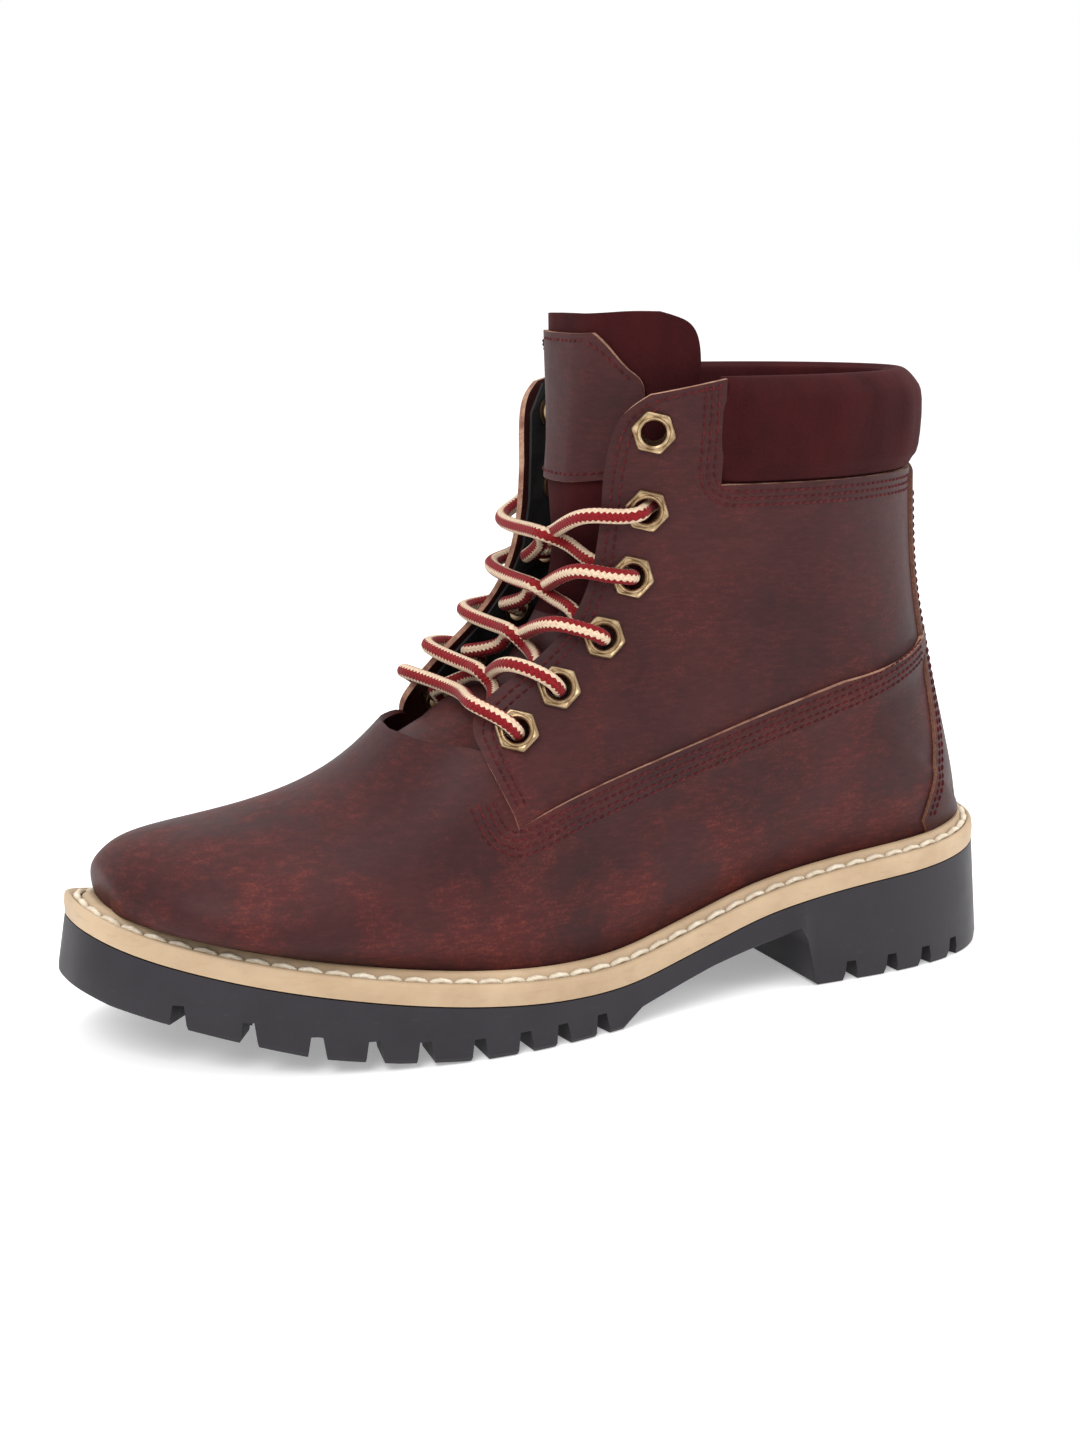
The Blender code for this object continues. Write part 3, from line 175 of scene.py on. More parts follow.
def polyline(points, count):
    """Evenly spaced points along straight runs."""
    points = np.asarray(points, float)
    length = np.concatenate([[0], np.cumsum(np.linalg.norm(np.diff(points, axis=0), axis=1))])
    where = np.linspace(0, length[-1], count)
    return np.stack([np.interp(where, length, points[:, k]) for k in range(points.shape[1])], -1)


def ease(value, low, high):
    share = np.clip((np.asarray(value, float) - low) / (high - low), 0, 1)
    return share * share * (3 - 2 * share)


# ---------------------------------------------------------------- sole plan
sole_top = spline(*zip(*SOLE_TOP))


def feather_inset(x):
    return np.interp(x, *zip(*FEATHER_INSET))


def plan_half(side, count, share=0.0, extra=0.0):
    """Half of the sole's outline, moved in by a share of the feather inset plus extra mm."""
    curve = through(LATERAL_PLAN if side == LATERAL else MEDIAL_PLAN)
    points = curve(np.linspace(0, 1, count))
    along = np.gradient(points, axis=0)
    along[0] = 0, along[0, 1]
    along[-1] = 0, along[-1, 1]
    along /= np.linalg.norm(along, axis=1)[:, None]
    inward = np.stack([-along[:, 1], along[:, 0]], 1) * -side
    return points + inward * (feather_inset(points[:, 0]) * share + extra)[:, None]


def plan_loop(count, share=0.0, extra=0.0):
    """The whole outline: toe to heel on the lateral side, then back on the medial side."""
    lateral = plan_half(LATERAL, count, share, extra)
    medial = plan_half(MEDIAL, count, share, extra)
    return np.concatenate([lateral, medial[::-1][1:-1]])


PLAN_SAMPLES = 240
FEATHER = {side: plan_half(side, PLAN_SAMPLES, 1.0) for side in (LATERAL, MEDIAL)}
EDGE = {side: plan_half(side, PLAN_SAMPLES) for side in (LATERAL, MEDIAL)}


def plan_y(x, side, extra=0.0):
    """The outline's y at x, moved in by extra mm."""
    outline = plan_half(side, PLAN_SAMPLES, 0.0, extra)
    return np.interp(x, outline[:, 0], outline[:, 1])


# ---------------------------------------------------------------- the last
def column(index, rows=LAST):
    return [row[index] for row in rows]


def feather_height(x):
    return sole_top(x) + FEATHER_RISE


ROWS_LOW = [row for row in LAST if row[0] <= HEEL_T]
ROWS_HIGH = [row for row in LAST if row[0] >= HEEL_T]
ridge_line = spline(column(0), list(zip(column(1), column(2))))
outer_x = spline(column(0, ROWS_LOW), column(3, ROWS_LOW))
back_line = spline(column(0, ROWS_HIGH),
                   [(row[3], row[4] or float(feather_height(row[3]))) for row in ROWS_HIGH])
half_width = {LATERAL: spline(column(0), column(5)), MEDIAL: spline(column(0), column(6))}
widest_at = spline(column(0), column(7))
ridge_fullness = spline(column(0), column(8))
end_fullness = spline(column(0), column(9))
ridge_y = spline(column(0), column(10))


def outer_line(t):
    x = np.minimum(outer_x(t), LAST[12][3])
    low = np.stack([x, feather_height(x)], -1)
    return np.where((t < HEEL_T)[..., None], low, back_line(t))


def last_point(t, v):
    """Points on the last at spots (t, v)."""
    t = np.asarray(t, float)
    v = np.asarray(v, float)
    share = np.abs(v)
    ridge = ridge_line(t)
    outer = outer_line(t)
    place = ridge + (outer - ridge) * share[..., None]
    centre = ridge_y(t)
    spread = np.zeros_like(share)
    for side in (LATERAL, MEDIAL):
        feather = np.interp(outer[..., 0], FEATHER[side][:, 0], FEATHER[side][:, 1])
        end = np.where(t < HEEL_T, side * (feather - centre), 0.0)
        wide = np.maximum(half_width[side](t), end + 0.5)
        widest = widest_at(t)
        rise = np.clip(1 - share / widest, 0, 1)
        fall = np.clip((share - widest) / (1 - widest), 0, 1)
        front = wide * (1 - rise ** ridge_fullness(t)) ** (1 / ridge_fullness(t))
        rear = end + (wide - end) * (1 - fall ** 2) ** end_fullness(t)
        value = np.where(share < widest, front, rear)
        spread = np.where((v < 0) == (side == LATERAL), value, spread)
    return np.stack([place[..., 0], centre + np.where(v < 0, -1, 1) * spread, place[..., 1]], -1)


def last_normal(t, v):
    """Outward directions of the last, level where the leather meets the sole."""
    t = np.asarray(t, float)
    v = np.asarray(v, float)
    side = np.where(v < 0, -1, 1)
    share = np.clip(np.abs(v), 0.002, 0.985)
    along = last_point(np.clip(t + 0.004, 0, 1), side * share)
    along = along - last_point(np.clip(t - 0.004, 0, 1), side * share)
    across = last_point(t, side * (share + 0.002)) - last_point(t, side * (share - 0.002))
    normal = np.cross(along, across) * side[..., None]
    normal[..., 1] = np.where(np.abs(v) < 0.002, 0.0, normal[..., 1])
    back = (np.abs(v) > 0.998) & (t >= HEEL_T - 1e-6)
    normal[..., 1] = np.where(back, 0.0, normal[..., 1])
    normal /= np.linalg.norm(normal, axis=-1)[..., None]
    place = last_point(t, v)
    height = place[..., 2] - feather_height(place[..., 0])
    normal[..., 2] *= ease(height, 0, 14)
    return normal / np.linalg.norm(normal, axis=-1)[..., None]


T_SCAN = np.linspace(0, 1, 801)
RIDGE_SCAN = ridge_line(T_SCAN)
OUTER_SCAN = outer_line(T_SCAN)


def spot(x, z, side=MEDIAL):
    """The spot (t, v) whose side view is (x, z)."""
    span = OUTER_SCAN - RIDGE_SCAN
    to_x = x - RIDGE_SCAN[:, 0]
    to_z = z - RIDGE_SCAN[:, 1]
    cross = span[:, 0] * to_z - span[:, 1] * to_x
    share = (to_x * span[:, 0] + to_z * span[:, 1]) / np.maximum((span ** 2).sum(1), 1e-9)
    change = np.nonzero((cross[:-1] >= 0) != (cross[1:] >= 0))[0]
    change = [i for i in change if -0.2 < share[i] < 1.2 and i > 4]
    if not change:
        i = int(np.argmin(np.abs(cross) / np.linalg.norm(span + 1e-9, axis=1)))
        return T_SCAN[i], side * float(np.clip(share[i], 0, 1))
    i = change[0]
    part = cross[i] / (cross[i] - cross[i + 1])
    t = T_SCAN[i] + part * (T_SCAN[i + 1] - T_SCAN[i])
    return t, side * float(np.clip(share[i] + part * (share[i + 1] - share[i]), 0, 1))


def spots(points, side):
    return np.array([spot(x, z, side) for x, z in points])


def between(first, second, count, crowd=1.0):
    """Grid of spots from one column of spots to another, closer together near the first
    column when crowd is above 1, and near the second when it is below 1."""
    share = np.linspace(0, 1, count) ** crowd
    return first[None] + (second - first)[None] * share[:, None, None]


def ruled(first, second, count, side):
    """Grid of spots on straight lines, in side view, from one row of points to another."""
    first = np.asarray(first, float)
    second = np.asarray(second, float)
    return np.stack([spots(first + (second - first) * share, side) for share in np.linspace(0, 1, count)])




# ---------------------------------------------------------------- node and mesh helpers
def node(tree, kind, settings=None, **inputs):
    """A shader node: each input is a value or another node's socket."""
    made = tree.nodes.new("ShaderNode" + kind)
    for key, value in (settings or {}).items():
        setattr(made, key, value)
    for key, value in inputs.items():
        feed(tree, made.inputs[key.replace("_", " ")], value)
    return made


def feed(tree, socket, value):
    if isinstance(value, bpy.types.NodeSocket):
        tree.links.new(value, socket)
    else:
        socket.default_value = value


def calc(tree, operation, first, second=0.0):
    made = tree.nodes.new("ShaderNodeMath")
    made.operation = operation
    feed(tree, made.inputs[0], first)
    feed(tree, made.inputs[1], second)
    return made.outputs[0]


def mix(tree, factor, first, second, blend="MIX"):
    """Two colours mixed by a factor."""
    made = tree.nodes.new("ShaderNodeMix")
    made.data_type = "RGBA"
    made.blend_type = blend
    feed(tree, made.inputs[0], factor)
    feed(tree, made.inputs[6], (*first, 1) if isinstance(first, tuple) else first)
    feed(tree, made.inputs[7], (*second, 1) if isinstance(second, tuple) else second)
    return made.outputs[2]


def between_values(tree, value, low, high, start=0.0, end=1.0):
    """A value read from start to end as it goes from low to high."""
    made = tree.nodes.new("ShaderNodeMapRange")
    feed(tree, made.inputs[0], value)
    for index, number in enumerate((low, high, start, end), 1):
        made.inputs[index].default_value = number
    return made.outputs[0]


def new_look(name, roughness, specular=0.5, metallic=0.0, sheen=0.0, coat=0.0):
    """A material, its node tree, its shader and the object's own coordinates."""
    made = bpy.data.materials.new(name)
    made.use_nodes = True
    tree = made.node_tree
    shader = tree.nodes["Principled BSDF"]
    shader.inputs["Roughness"].default_value = roughness
    shader.inputs["Specular IOR Level"].default_value = specular
    shader.inputs["Metallic"].default_value = metallic
    shader.inputs["Sheen Weight"].default_value = sheen
    shader.inputs["Coat Weight"].default_value = coat
    place = tree.nodes.new("ShaderNodeTexCoord").outputs["Object"]
    return made, tree, shader, place


def noise(tree, place, scale, detail=2.0, rough=0.5, stretch=None):
    """Fractal noise, scale in cells to the metre, optionally stretched along the axes."""
    if stretch:
        place = node(tree, "Mapping", Vector=place, Scale=stretch).outputs[0]
    made = node(tree, "TexNoise", Vector=place, Scale=scale, Detail=detail, Roughness=rough)
    return made.outputs["Fac"]


def bump(tree, shader, height, depth, strength=1.0, under=None):
    made = node(tree, "Bump", Height=height, Distance=depth, Strength=strength)
    if under:
        tree.links.new(under, made.inputs["Normal"])
    tree.links.new(made.outputs[0], shader.inputs["Normal"])
    return made.outputs[0]


def add_mesh(name, vertices, faces, looks, which=None, uv=None, smooth=True, sharp=50):
    """A mesh from points in the design tables' millimetres, moved to the part's own origin."""
    mesh = bpy.data.meshes.new(name)
    places = (np.asarray(vertices, float) - CENTRE) * MM
    mesh.from_pydata(places.tolist(), [], [list(map(int, face)) for face in faces])
    mesh.update()
    for look in looks:
        mesh.materials.append(look)
    if which is not None:
        mesh.polygons.foreach_set("material_index", which)
    if uv is not None:
        layer = mesh.uv_layers.new(name="UVMap")
        layer.data.foreach_set("uv", np.asarray(uv, float).reshape(-1))
    if smooth:
        mesh.shade_smooth()
        mesh.set_sharp_from_angle(angle=math.radians(sharp))
    made = bpy.data.objects.new(name, mesh)
    bpy.context.scene.collection.objects.link(made)
    return made


def place_piece(made, slot, *nodes, body=BOOT):
    """The piece rides on its body, and the CAD nodes it replaces are hidden."""
    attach(made, body)
    if nodes:
        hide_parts(*nodes)
    return made


def fine(grid, rows, columns):
    """The same grid of spots with more of them, on smooth curves through the given ones."""
    count, width = grid.shape[:2]
    grid = spline(np.arange(count), grid.reshape(count, -1))(np.linspace(0, count - 1, rows))
    grid = grid.reshape(rows, width, -1).swapaxes(0, 1)
    grid = spline(np.arange(width), grid.reshape(width, -1))(np.linspace(0, width - 1, columns))
    return grid.reshape(columns, rows, -1).swapaxes(0, 1)


def depth_at(depth, places):
    if callable(depth):
        return np.asarray(depth(places))[:, None]
    return depth


def soften(made, width, segments=2, angle=50):
    """Rounds the piece's sharp edges by width mm."""
    bevel = made.modifiers.new("soft_edges", "BEVEL")
    bevel.width = width * MM
    bevel.segments = segments
    bevel.limit_method = "ANGLE"
    bevel.angle_limit = math.radians(angle)
    bevel.use_clamp_overlap = True
    return made


def shell(name, patches, near, far, looks, shift=None, round_edge=0.35):
    """A leather piece over patches of spots, between two depths below the last; its raw edges
    take the second look. shift moves the finished points."""
    found = {}
    places = []
    normals = []
    quads = []
    for patch in patches:
        points = last_point(patch[..., 0], patch[..., 1])
        outward = last_normal(patch[..., 0], patch[..., 1])
        ids = np.zeros(patch.shape[:2], int)
        for index in np.ndindex(*ids.shape):
            key = tuple(np.round(points[index] / 0.02).astype(int))
            if key not in found:
                found[key] = len(places)
                places.append(points[index])
                normals.append(outward[index])
            ids[index] = found[key]
        for i in range(ids.shape[0] - 1):
            for j in range(ids.shape[1] - 1):
                quads.append([ids[i, j], ids[i + 1, j], ids[i + 1, j + 1], ids[i, j + 1]])
    places = np.array(places)
    normals = np.array(normals)
    top = places - normals * depth_at(near, places)
    low = places - normals * depth_at(far, places)
    faces = []
    for quad in quads:
        quad = list(dict.fromkeys(quad))
        if len(quad) < 3:
            continue
        a, b, c = places[quad[0]], places[quad[1]], places[quad[-1]]
        facing = np.dot(np.cross(b - a, c - a), normals[quad].sum(0))
        faces.append(quad if facing > 0 else quad[::-1])
    directed = {(f[k], f[(k + 1) % len(f)]) for f in faces for k in range(len(f))}
    rim = sorted((a, b) for a, b in directed if (b, a) not in directed)
    size = len(places)
    inner = [[i + size for i in f[::-1]] for f in faces]
    edge = [[b, a, a + size, b + size] for a, b in rim]
    which = [0] * (2 * len(faces)) + [len(looks) - 1] * len(edge)
    points = np.concatenate([top, low])
    if shift:
        points = shift(points)
    made = add_mesh(name, points, faces + inner + edge, looks, which)
    if round_edge:
        soften(made, round_edge)
    return made


def lofted(name, rings, looks, closed=False, sharp=50, smooth=True):
    """Solid through rings of equal length: capped at both ends, or joined end to start."""
    rings = np.asarray(rings, float)
    count, size = rings.shape[:2]
    faces = []
    for i in range(count if closed else count - 1):
        after = (i + 1) % count
        for j in range(size):
            beside = (j + 1) % size
            faces.append([i * size + j, i * size + beside, after * size + beside, after * size + j])
    if not closed:
        faces.append(list(range(size))[::-1])
        faces.append([(count - 1) * size + j for j in range(size)])
    made = add_mesh(name, rings.reshape(-1, 3), faces, looks, smooth=smooth, sharp=sharp)
    point_outward(made)
    return made


def point_outward(made):
    work = bmesh.new()
    work.from_mesh(made.data)
    bmesh.ops.recalc_face_normals(work, faces=work.faces)
    if work.calc_volume(signed=True) < 0:
        bmesh.ops.reverse_faces(work, faces=work.faces)
    work.to_mesh(made.data)
    work.free()


def cut(made, cutter):
    """Cuts a shape out of a piece for good, and removes the shape."""
    modifier = made.modifiers.new("cut", "BOOLEAN")
    modifier.operation = "DIFFERENCE"
    modifier.solver = "EXACT"
    modifier.object = cutter
    shape = made.evaluated_get(bpy.context.evaluated_depsgraph_get())
    result = bpy.data.meshes.new_from_object(shape)
    made.modifiers.remove(modifier)
    old = made.data
    made.data = result
    bpy.data.meshes.remove(old)
    bpy.data.objects.remove(cutter, do_unlink=True)


def smooth_loop(points, count):
    """Points on the smooth closed curve through an outline."""
    points = np.asarray(points, float)
    wrapped = np.concatenate([points[-4:], points, points[:4]])
    gaps = np.linalg.norm(np.diff(wrapped, axis=0), axis=1) ** 0.6
    knots = np.concatenate([[0], np.cumsum(gaps)])
    start, end = knots[4], knots[4 + len(points)]
    return spline(knots, wrapped)(np.linspace(start, end, count, endpoint=False))


def on_last(points, side, height=0.0):
    """Points at a height above the last, from side-view points (x, z)."""
    places = spots(points, side)
    t, v = places[:, 0], places[:, 1]
    return last_point(t, v) + last_normal(t, v) * np.reshape(height, (-1, 1))


def normals_at(points, side):
    places = spots(points, side)
    return last_normal(places[:, 0], places[:, 1])


def resampled(points, spacing):
    """Evenly spaced points along a line of straight runs."""
    points = np.asarray(points, float)
    length = float(np.linalg.norm(np.diff(points, axis=0), axis=1).sum())
    return polyline(points, max(2, int(round(length / spacing)) + 1))


def beside(line, offset):
    """A side-view line moved sideways by offset mm, to its left."""
    line = np.asarray(line, float)
    along = np.gradient(line, axis=0)
    along /= np.linalg.norm(along, axis=1)[:, None]
    return line + np.column_stack([-along[:, 1], along[:, 0]]) * offset


def along_frames(centre):
    """Directions along a route, with two directions across it that never twist."""
    along = np.gradient(centre, axis=0)
    along /= np.linalg.norm(along, axis=1)[:, None]
    first = np.zeros_like(centre)
    start = np.cross(along[0], (0.3, 0.2, 0.9))
    first[0] = start / np.linalg.norm(start)
    for i in range(1, len(centre)):
        carried = first[i - 1] - along[i] * np.dot(first[i - 1], along[i])
        first[i] = carried / np.linalg.norm(carried)
    return along, first, np.cross(along, first)


def cord_mesh(name, centre, radius, look, sides=14):
    """A round cord along evenly spaced points, with the millimetres along it and the share of
    a turn around it as its texture coordinates."""
    _, first, second = along_frames(centre)
    angles = np.linspace(0, 2 * math.pi, sides, endpoint=False)
    rings = []
    for k, point in enumerate(centre):
        rings.append([point + (first[k] * math.cos(a) + second[k] * math.sin(a)) * radius for a in angles])
    rings = np.array(rings)
    step = np.concatenate([[0], np.cumsum(np.linalg.norm(np.diff(centre, axis=0), axis=1))])
    faces = []
    uv = []
    for i in range(len(centre) - 1):
        for j in range(sides):
            b = (j + 1) % sides
            faces.append([i * sides + j, i * sides + b, (i + 1) * sides + b, (i + 1) * sides + j])
            uv += [(step[i], j / sides), (step[i], (j + 1) / sides),
                   (step[i + 1], (j + 1) / sides), (step[i + 1], j / sides)]
    for ring in (list(range(sides))[::-1], [(len(centre) - 1) * sides + j for j in range(sides)]):
        faces.append(ring)
        uv += [(0.0, 0.0)] * sides
    return add_mesh(name, rings.reshape(-1, 3), faces, [look], uv=uv)


def stitches(name, rows, look, pitch=2.5, length=2.0, radius=0.36, arch=0.16):
    """Sewn rows: each is (points, outward normals). Every stitch is a short arched bead."""
    vertices = []
    faces = []
    sides = 6
    shares = np.array([0.0, 0.12, 0.5, 0.88, 1.0])
    thick = np.array([0.45, 0.92, 1.0, 0.92, 0.45])
    for line, outward in rows:
        line = np.asarray(line, float)
        reach = np.concatenate([[0], np.cumsum(np.linalg.norm(np.diff(line, axis=0), axis=1))])
        count = int(reach[-1] // pitch)
        for k in range(count):
            start = (reach[-1] - count * pitch) / 2 + k * pitch
            where = start + shares * length
            centre = np.stack([np.interp(where, reach, line[:, c]) for c in range(3)], -1)
            up = np.array([np.interp(where[2], reach, outward[:, c]) for c in range(3)])
            up /= np.linalg.norm(up)
            ahead = centre[-1] - centre[0]
            ahead /= np.linalg.norm(ahead)
            across = np.cross(up, ahead)
            first = len(vertices)
            for point, share, width in zip(centre, shares, thick):
                lift = arch * math.sin(share * math.pi) * 2 - 0.08
                for s in range(sides):
                    a = 2 * math.pi * s / sides
                    vertices.append(point + up * (lift + radius * width * math.sin(a) * 0.75)
                                    + across * radius * width * math.cos(a))
            for ring in range(len(shares) - 1):
                for s in range(sides):
                    b = (s + 1) % sides
                    low = first + ring * sides
                    faces.append([low + s, low + b, low + sides + b, low + sides + s])
            faces.append([first + s for s in range(sides)][::-1])
            faces.append([first + (len(shares) - 1) * sides + s for s in range(sides)])
    made = add_mesh(name, vertices, faces, [look], sharp=80)
    point_outward(made)
    return made


# ---------------------------------------------------------------- materials
def make_leather():
    """Waxed pull-up leather: dark brown with brushed streaks, redder and worn toward the sole."""
    made, tree, shader, place = new_look("pull_up_leather", 0.5, specular=0.14)
    height = node(tree, "SeparateXYZ", Vector=place).outputs[2]
    clouds = noise(tree, place, 24.0, 3.0, 0.55)
    patches = noise(tree, place, 42.0, 5.0, 0.68)
    brushed = noise(tree, place, 620.0, 4.0, 0.7, stretch=(0.4, 0.4, 1.4))
    specks = noise(tree, place, 1300.0, 3.0, 0.7)
    base = mix(tree, between_values(tree, clouds, 0.34, 0.68), *LEATHER_TONES[:2])
    low = between_values(tree, height, 0.035, 0.115, 1.0, 0.3)
    worn = calc(tree, "MULTIPLY", between_values(tree, patches, 0.44, 0.72), low)
    base = mix(tree, calc(tree, "MULTIPLY", worn, 0.75), base, LEATHER_TONES[2])
    flecks = between_values(tree, calc(tree, "MULTIPLY", specks, brushed), 0.24, 0.38)
    flecks = calc(tree, "MULTIPLY", flecks, calc(tree, "ADD", calc(tree, "MULTIPLY", worn, 0.8), 0.05))
    base = mix(tree, flecks, base, LEATHER_TONES[3])
    rubbed = between_values(tree, brushed, 0.30, 0.70, 0.88, 1.12)
    base = mix(tree, 1.0, base, node(tree, "CombineXYZ", X=rubbed, Y=rubbed, Z=rubbed).outputs[0], "MULTIPLY")
    tree.links.new(base, shader.inputs["Base Color"])
    gloss = between_values(tree, patches, 0.3, 0.75, 0.44, 0.58)
    tree.links.new(gloss, shader.inputs["Roughness"])
    grain = node(tree, "TexVoronoi", Vector=place, Scale=1500.0).outputs["Distance"]
    pores = calc(tree, "ADD", calc(tree, "MULTIPLY", grain, 0.6), specks)
    fine_bump = bump(tree, shader, pores, 0.00006, 0.6)
    folds = noise(tree, place, 70.0, 3.0, 0.5)
    bump(tree, shader, folds, 0.0007, 0.4, fine_bump)
    return made


def make_nubuck():
    made, tree, shader, place = new_look("burgundy_nubuck", 0.9, specular=0.08, sheen=0.1)
    shader.inputs["Sheen Roughness"].default_value = 0.45
    shader.inputs["Sheen Tint"].default_value = (0.55, 0.2, 0.2, 1)
    brushed = noise(tree, place, 60.0, 4.0, 0.6, stretch=(1.0, 1.0, 0.55))
    nap = noise(tree, place, 2600.0, 2.0, 0.6)
    soft = mix(tree, between_values(tree, brushed, 0.34, 0.68), *NUBUCK_TONES[:2])
    base = mix(tree, between_values(tree, nap, 0.35, 0.75, 0.0, 0.45), soft, NUBUCK_TONES[2])
    tree.links.new(base, shader.inputs["Base Color"])
    first = bump(tree, shader, nap, 0.00012, 0.5)
    bump(tree, shader, brushed, 0.0012, 0.35, first)
    return made


def make_raw_edge():
    made, tree, shader, place = new_look("raw_leather_edge", 0.85, specular=0.25)
    fibre = noise(tree, place, 1200.0, 4.0, 0.7)
    stain = noise(tree, place, 160.0, 3.0, 0.6)
    pale = mix(tree, between_values(tree, fibre, 0.3, 0.7), (0.26, 0.130, 0.085), (0.46, 0.280, 0.190))
    base = mix(tree, between_values(tree, stain, 0.42, 0.70), pale, (0.150, 0.050, 0.036))
    tree.links.new(base, shader.inputs["Base Color"])
    bump(tree, shader, fibre, 0.0002, 0.6)
    return made


def make_dark_edge():
    made, tree, shader, place = new_look("stained_leather_edge", 0.8, specular=0.25)
    fibre = noise(tree, place, 1100.0, 4.0, 0.7)
    base = mix(tree, between_values(tree, fibre, 0.3, 0.7), (0.085, 0.030, 0.020), (0.205, 0.095, 0.060))
    tree.links.new(base, shader.inputs["Base Color"])
    bump(tree, shader, fibre, 0.0002, 0.6)
    return made


def make_lining():
    made, tree, shader, place = new_look("black_lining", 0.75, specular=0.3)
    weave = node(tree, "TexVoronoi", Vector=place, Scale=900.0).outputs["Distance"]
    shade = noise(tree, place, 90.0, 3.0, 0.5)
    share = between_values(tree, shade, 0.3, 0.7)
    base = mix(tree, share, (0.0075, 0.0072, 0.0078), (0.0180, 0.0170, 0.0180))
    tree.links.new(base, shader.inputs["Base Color"])
    bump(tree, shader, weave, 0.00018, 0.5)
    return made


def make_footbed_look():
    made, tree, shader, place = new_look("footbed_fabric", 0.85, specular=0.25)
    rows = node(tree, "TexWave", {"bands_direction": "DIAGONAL"}, Vector=place, Scale=260.0, Distortion=1.5)
    shade = noise(tree, place, 45.0, 3.0, 0.5)
    base = mix(tree, between_values(tree, shade, 0.3, 0.7), (0.016, 0.015, 0.016), (0.036, 0.034, 0.036))
    tree.links.new(base, shader.inputs["Base Color"])
    bump(tree, shader, rows.outputs["Fac"], 0.00025, 0.5)
    return made


def make_rubber():
    made, tree, shader, place = new_look("charcoal_rubber", 0.5, specular=0.32)
    dust = noise(tree, place, 55.0, 4.0, 0.6)
    scuff = noise(tree, place, 420.0, 3.0, 0.6, stretch=(0.5, 0.5, 2.0))
    share = between_values(tree, dust, 0.35, 0.70)
    base = mix(tree, share, (0.0115, 0.0092, 0.0130), (0.0180, 0.0150, 0.0200))
    base = mix(tree, between_values(tree, scuff, 0.62, 0.80, 0.0, 0.35), base, (0.036, 0.032, 0.038))
    tree.links.new(base, shader.inputs["Base Color"])
    tree.links.new(between_values(tree, dust, 0.3, 0.7, 0.44, 0.58), shader.inputs["Roughness"])
    pebble = noise(tree, place, 1700.0, 2.0, 0.5)
    bump(tree, shader, pebble, 0.00006, 0.5)
    return made


def make_welt_look():
    made, tree, shader, place = new_look("beige_welt", 0.52, specular=0.4)
    shader.inputs["Subsurface Weight"].default_value = 0.08
    shader.inputs["Subsurface Radius"].default_value = (0.003, 0.002, 0.001)
    shade = noise(tree, place, 38.0, 4.0, 0.6)
    streaks = noise(tree, place, 500.0, 3.0, 0.6, stretch=(0.35, 0.35, 1.6))
    base = mix(tree, between_values(tree, shade, 0.32, 0.70), (0.370, 0.255, 0.152), (0.480, 0.350, 0.222))
    base = mix(tree, between_values(tree, streaks, 0.55, 0.80, 0.0, 0.4), base, (0.300, 0.195, 0.110))
    tree.links.new(base, shader.inputs["Base Color"])
    bump(tree, shader, streaks, 0.0002, 0.35)
    return made


def make_thread(name, low, high):
    made, tree, shader, place = new_look(name, 0.75, specular=0.12, sheen=0.05)
    ply = node(tree, "TexWave", {"bands_direction": "DIAGONAL"}, Vector=place, Scale=900.0, Distortion=2.0)
    shade = noise(tree, place, 300.0, 2.0, 0.5)
    tree.links.new(mix(tree, between_values(tree, shade, 0.35, 0.7), low, high), shader.inputs["Base Color"])
    bump(tree, shader, ply.outputs["Fac"], 0.00015, 0.6)
    return made


def make_brass():
    made, tree, shader, place = new_look("antique_brass", 0.36, metallic=1.0)
    patina = noise(tree, place, 350.0, 4.0, 0.65)
    rub = noise(tree, place, 1400.0, 3.0, 0.6)
    base = mix(tree, between_values(tree, patina, 0.36, 0.66), (0.230, 0.150, 0.080), (0.500, 0.370, 0.220))
    base = mix(tree, between_values(tree, rub, 0.56, 0.75, 0.0, 0.5), base, (0.110, 0.068, 0.040))
    tree.links.new(base, shader.inputs["Base Color"])
    tree.links.new(between_values(tree, patina, 0.3, 0.7, 0.45, 0.28), shader.inputs["Roughness"])
    bump(tree, shader, rub, 0.00005, 0.4)
    return made


def make_braid():
    """Round lace braided in red and cream: three cream bands run along it with toothed edges."""
    made, tree, shader, _ = new_look("braided_lace", 0.75, specular=0.15, sheen=0.05)
    uv = tree.nodes.new("ShaderNodeUVMap")
    parts = node(tree, "SeparateXYZ", Vector=uv.outputs[0])
    along, around = parts.outputs[0], parts.outputs[1]
    tooth = calc(tree, "PINGPONG", calc(tree, "DIVIDE", along, BRAID_PITCH), 0.5)
    turn = calc(tree, "ADD", around, calc(tree, "MULTIPLY", tooth, 0.10))
    band = calc(tree, "PINGPONG", calc(tree, "MULTIPLY", turn, 3.0), 0.5)
    cream = between_values(tree, band, 0.28, 0.30)
    place = node(tree, "CombineXYZ", X=along, Y=calc(tree, "MULTIPLY", around, 14.0)).outputs[0]
    shade = node(tree, "TexNoise", Vector=place, Scale=1.3, Detail=3.0).outputs["Fac"]
    red = mix(tree, between_values(tree, shade, 0.3, 0.7), (0.125, 0.0028, 0.0050), (0.230, 0.0065, 0.0095))
    pale = mix(tree, between_values(tree, shade, 0.3, 0.7), (0.500, 0.350, 0.230), (0.700, 0.560, 0.410))
    tree.links.new(mix(tree, cream, red, pale), shader.inputs["Base Color"])
    lengthwise = calc(tree, "MULTIPLY", along, 2 * math.pi / BRAID_PITCH)
    crosswise = calc(tree, "MULTIPLY", around, 2 * math.pi * BRAID_STRANDS)
    left = calc(tree, "SINE", calc(tree, "ADD", lengthwise, crosswise))
    right = calc(tree, "SINE", calc(tree, "SUBTRACT", lengthwise, crosswise))
    bump(tree, shader, calc(tree, "MAXIMUM", left, right), 0.00022, 0.55)
    return made


BRAID_PITCH = 1.5
BRAID_STRANDS = 6
